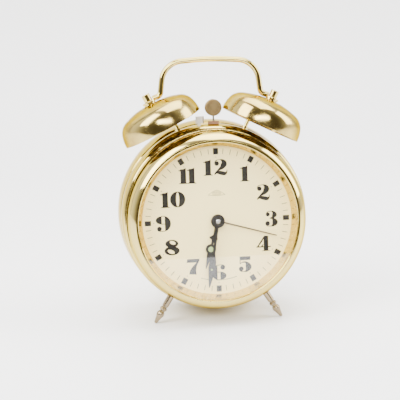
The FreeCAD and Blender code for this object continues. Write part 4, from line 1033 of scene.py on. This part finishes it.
class CLOCK_OT_handle(ClockOperator, bpy.types.Operator):
    """The carrying handle: one round wire with an eyelet under each knob nut"""
    bl_idname = "clock.handle"
    bl_label = "Handle"

    def make(self, sizes, colours):
        wire, run = 1.8, SHELF + 1.85
        top = bell_spot(-1, 0.0, KNOB_BASE)
        left = [bell_spot(-1, -3.0, run), (top[0] + 7.5, top[1] + 3.6), (top[0] + 10.2, top[1] + 24.1)]
        right = [(-x, z) for x, z in reversed(left)]
        path = bent(left + [(0.0, top[1] + 26.1)] + right, [3.4, 14.0, 150.0, 14.0, 3.4], 12)
        pieces = [tube([(x, BELL_PLACE, z) for x, z in path], wire, 40)]
        for side in (-1, 1):
            ring = rounded([(1.45, SHELF), (4.4, SHELF), (4.4, KNOB_BASE), (1.45, KNOB_BASE)], 0.3, 4)
            pieces.append(placed(lathe(ring, 64), bell_frame(side)))
        finish_piece("handle_wire", joined(*pieces), "case", "gold_plate", ["carrying_handle"])


class CLOCK_OT_hammer(ClockOperator, bpy.types.Operator):
    """The hammer's head"""
    bl_idname = "clock.hammer"
    bl_label = "Hammer"

    def make(self, sizes, colours):
        low, high = depth("hammer_head", min), depth("hammer_head", max)
        centre = [(reach("hammer_head", d, min) + reach("hammer_head", d, max)) / 2 - ORIGIN.dot(d)
                  for d in (RIGHT, UP)]
        head = rounded([(0.0, low), (4.75, low), (4.9, low + 0.12), (5.35, low + 0.25), (5.35, high - 0.3),
                        (0.0, high)], 0.25, 4, closed=False)
        mesh = placed(lathe(head, 96), Matrix.Translation((centre[0] / MM, 0, centre[1] / MM)) @ TURNED)
        finish_piece("hammer_disc", mesh, "hammer", "aged_brass", ["hammer_head"])


class CLOCK_OT_feet(ClockOperator, bpy.types.Operator):
    """The two turned feet"""
    bl_idname = "clock.feet"
    bl_label = "Feet"

    def make(self, sizes, colours):
        base, tip, spread, setback = 57.35, 78.1, 32.0, 6.8
        neck = base + 0.40 * (tip - base)
        profile = [(0.0, 52.4), (1.5, 52.4), (1.5, base), (2.2, base), (2.05, neck - 0.4), (1.5, neck),
                   (1.5, neck + 0.5)]
        profile += arc((1.5, neck + 0.5), (2.35, neck + 1.7), (1.5, neck + 2.9), 8)
        profile += [(1.5, neck + 3.5)]
        profile += arc((1.5, neck + 3.5), (2.4, neck + 5.0), (1.95, neck + 7.4), 8)
        profile += [(1.0, tip - 1.0)] + arc((1.0, tip - 1.0), (0.80, tip - 0.40), (0.3, tip), 6) + [(0.0, tip)]
        for name, side in (("left", -1), ("right", 1)):
            foot = lathe(rounded(profile, 0.12, 2, closed=False), 64)
            foot.transform(Matrix.Translation((0, setback, 0))
                           @ Matrix.Rotation(math.radians(side * (180 - spread)), 4, "Y"))
            finish_piece("foot_%s_turned" % name, foot, "case", "nickel", ["front_foot_" + name])


class CLOCK_OT_back(ClockOperator, bpy.types.Operator):
    """Knurled setting knobs on the clock's back"""
    bl_idname = "clock.back"
    bl_label = "Back"

    def make(self, sizes, colours):
        for node, body, joint, radius, bore, count in (
                ("time_set_knob", "minute_hand", "minute_hand_turn", 7.0, 0.81, sizes.knurl_count),
                ("alarm_set_knob", "alarm_set_knob", "alarm_knob_turn", 5.5, 0.61, sizes.knurl_count * 3 // 4)):
            low, high = depth(node, min), depth(node, max)
            rim = radius - 0.35
            knob = rounded([(bore, low), (radius * 0.55, low), (radius * 0.55, low + 1.6), (rim, low + 2.0),
                            (rim, high), (rim - 1.2, high), (rim - 1.6, high - 0.5), (0.0, high - 0.5),
                            (0.0, low + 4.0), (bore, low + 4.0)], 0.2, 3)
            x, z = joint_place(joint)
            ridges = ring_of_bars(count, 0, rim, 0.6, 0.42, high - low - 3.0, "bright_brass")
            ridges.transform(Matrix.Translation((0, 0, (low + high) / 2 + 0.9)))
            mesh = joined(lathe(knob, 96), ridges)
            mesh.transform(Matrix.Translation((x, 0, z)) @ TURNED)
            finish_piece(node + "_knurled", mesh, body, "bright_brass", [node])


class CLOCK_PT_panel(bpy.types.Panel):
    """Lists the clock's pieces in the sidebar"""
    bl_idname = "CLOCK_PT_panel"
    bl_label = "Wind-up Alarm Clock"
    bl_space_type = "VIEW_3D"
    bl_region_type = "UI"
    bl_category = "Clock"

    def draw(self, context):
        for operator in STEPS:
            self.layout.operator(operator.bl_idname)
        for group in (context.scene.clock_sizes, context.scene.clock_colours):
            for name in group.__annotations__:
                self.layout.prop(group, name)


STEPS = (CLOCK_OT_stage, CLOCK_OT_finishes, CLOCK_OT_case, CLOCK_OT_bezel, CLOCK_OT_dial, CLOCK_OT_hands,
         CLOCK_OT_bells, CLOCK_OT_handle, CLOCK_OT_hammer, CLOCK_OT_feet, CLOCK_OT_back)
CLASSES = (ClockSizes, ClockColours) + STEPS + (CLOCK_PT_panel,)


def register():
    for cls in CLASSES:
        bpy.utils.register_class(cls)
    bpy.types.Scene.clock_sizes = PointerProperty(type=ClockSizes)
    bpy.types.Scene.clock_colours = PointerProperty(type=ClockColours)


def unregister():
    del bpy.types.Scene.clock_sizes
    del bpy.types.Scene.clock_colours
    for cls in reversed(CLASSES):
        bpy.utils.unregister_class(cls)


def main():
    register()
    for operator in STEPS:
        family, name = operator.bl_idname.split(".")
        getattr(getattr(bpy.ops, family), name)()


if __name__ == "__main__":
    main()
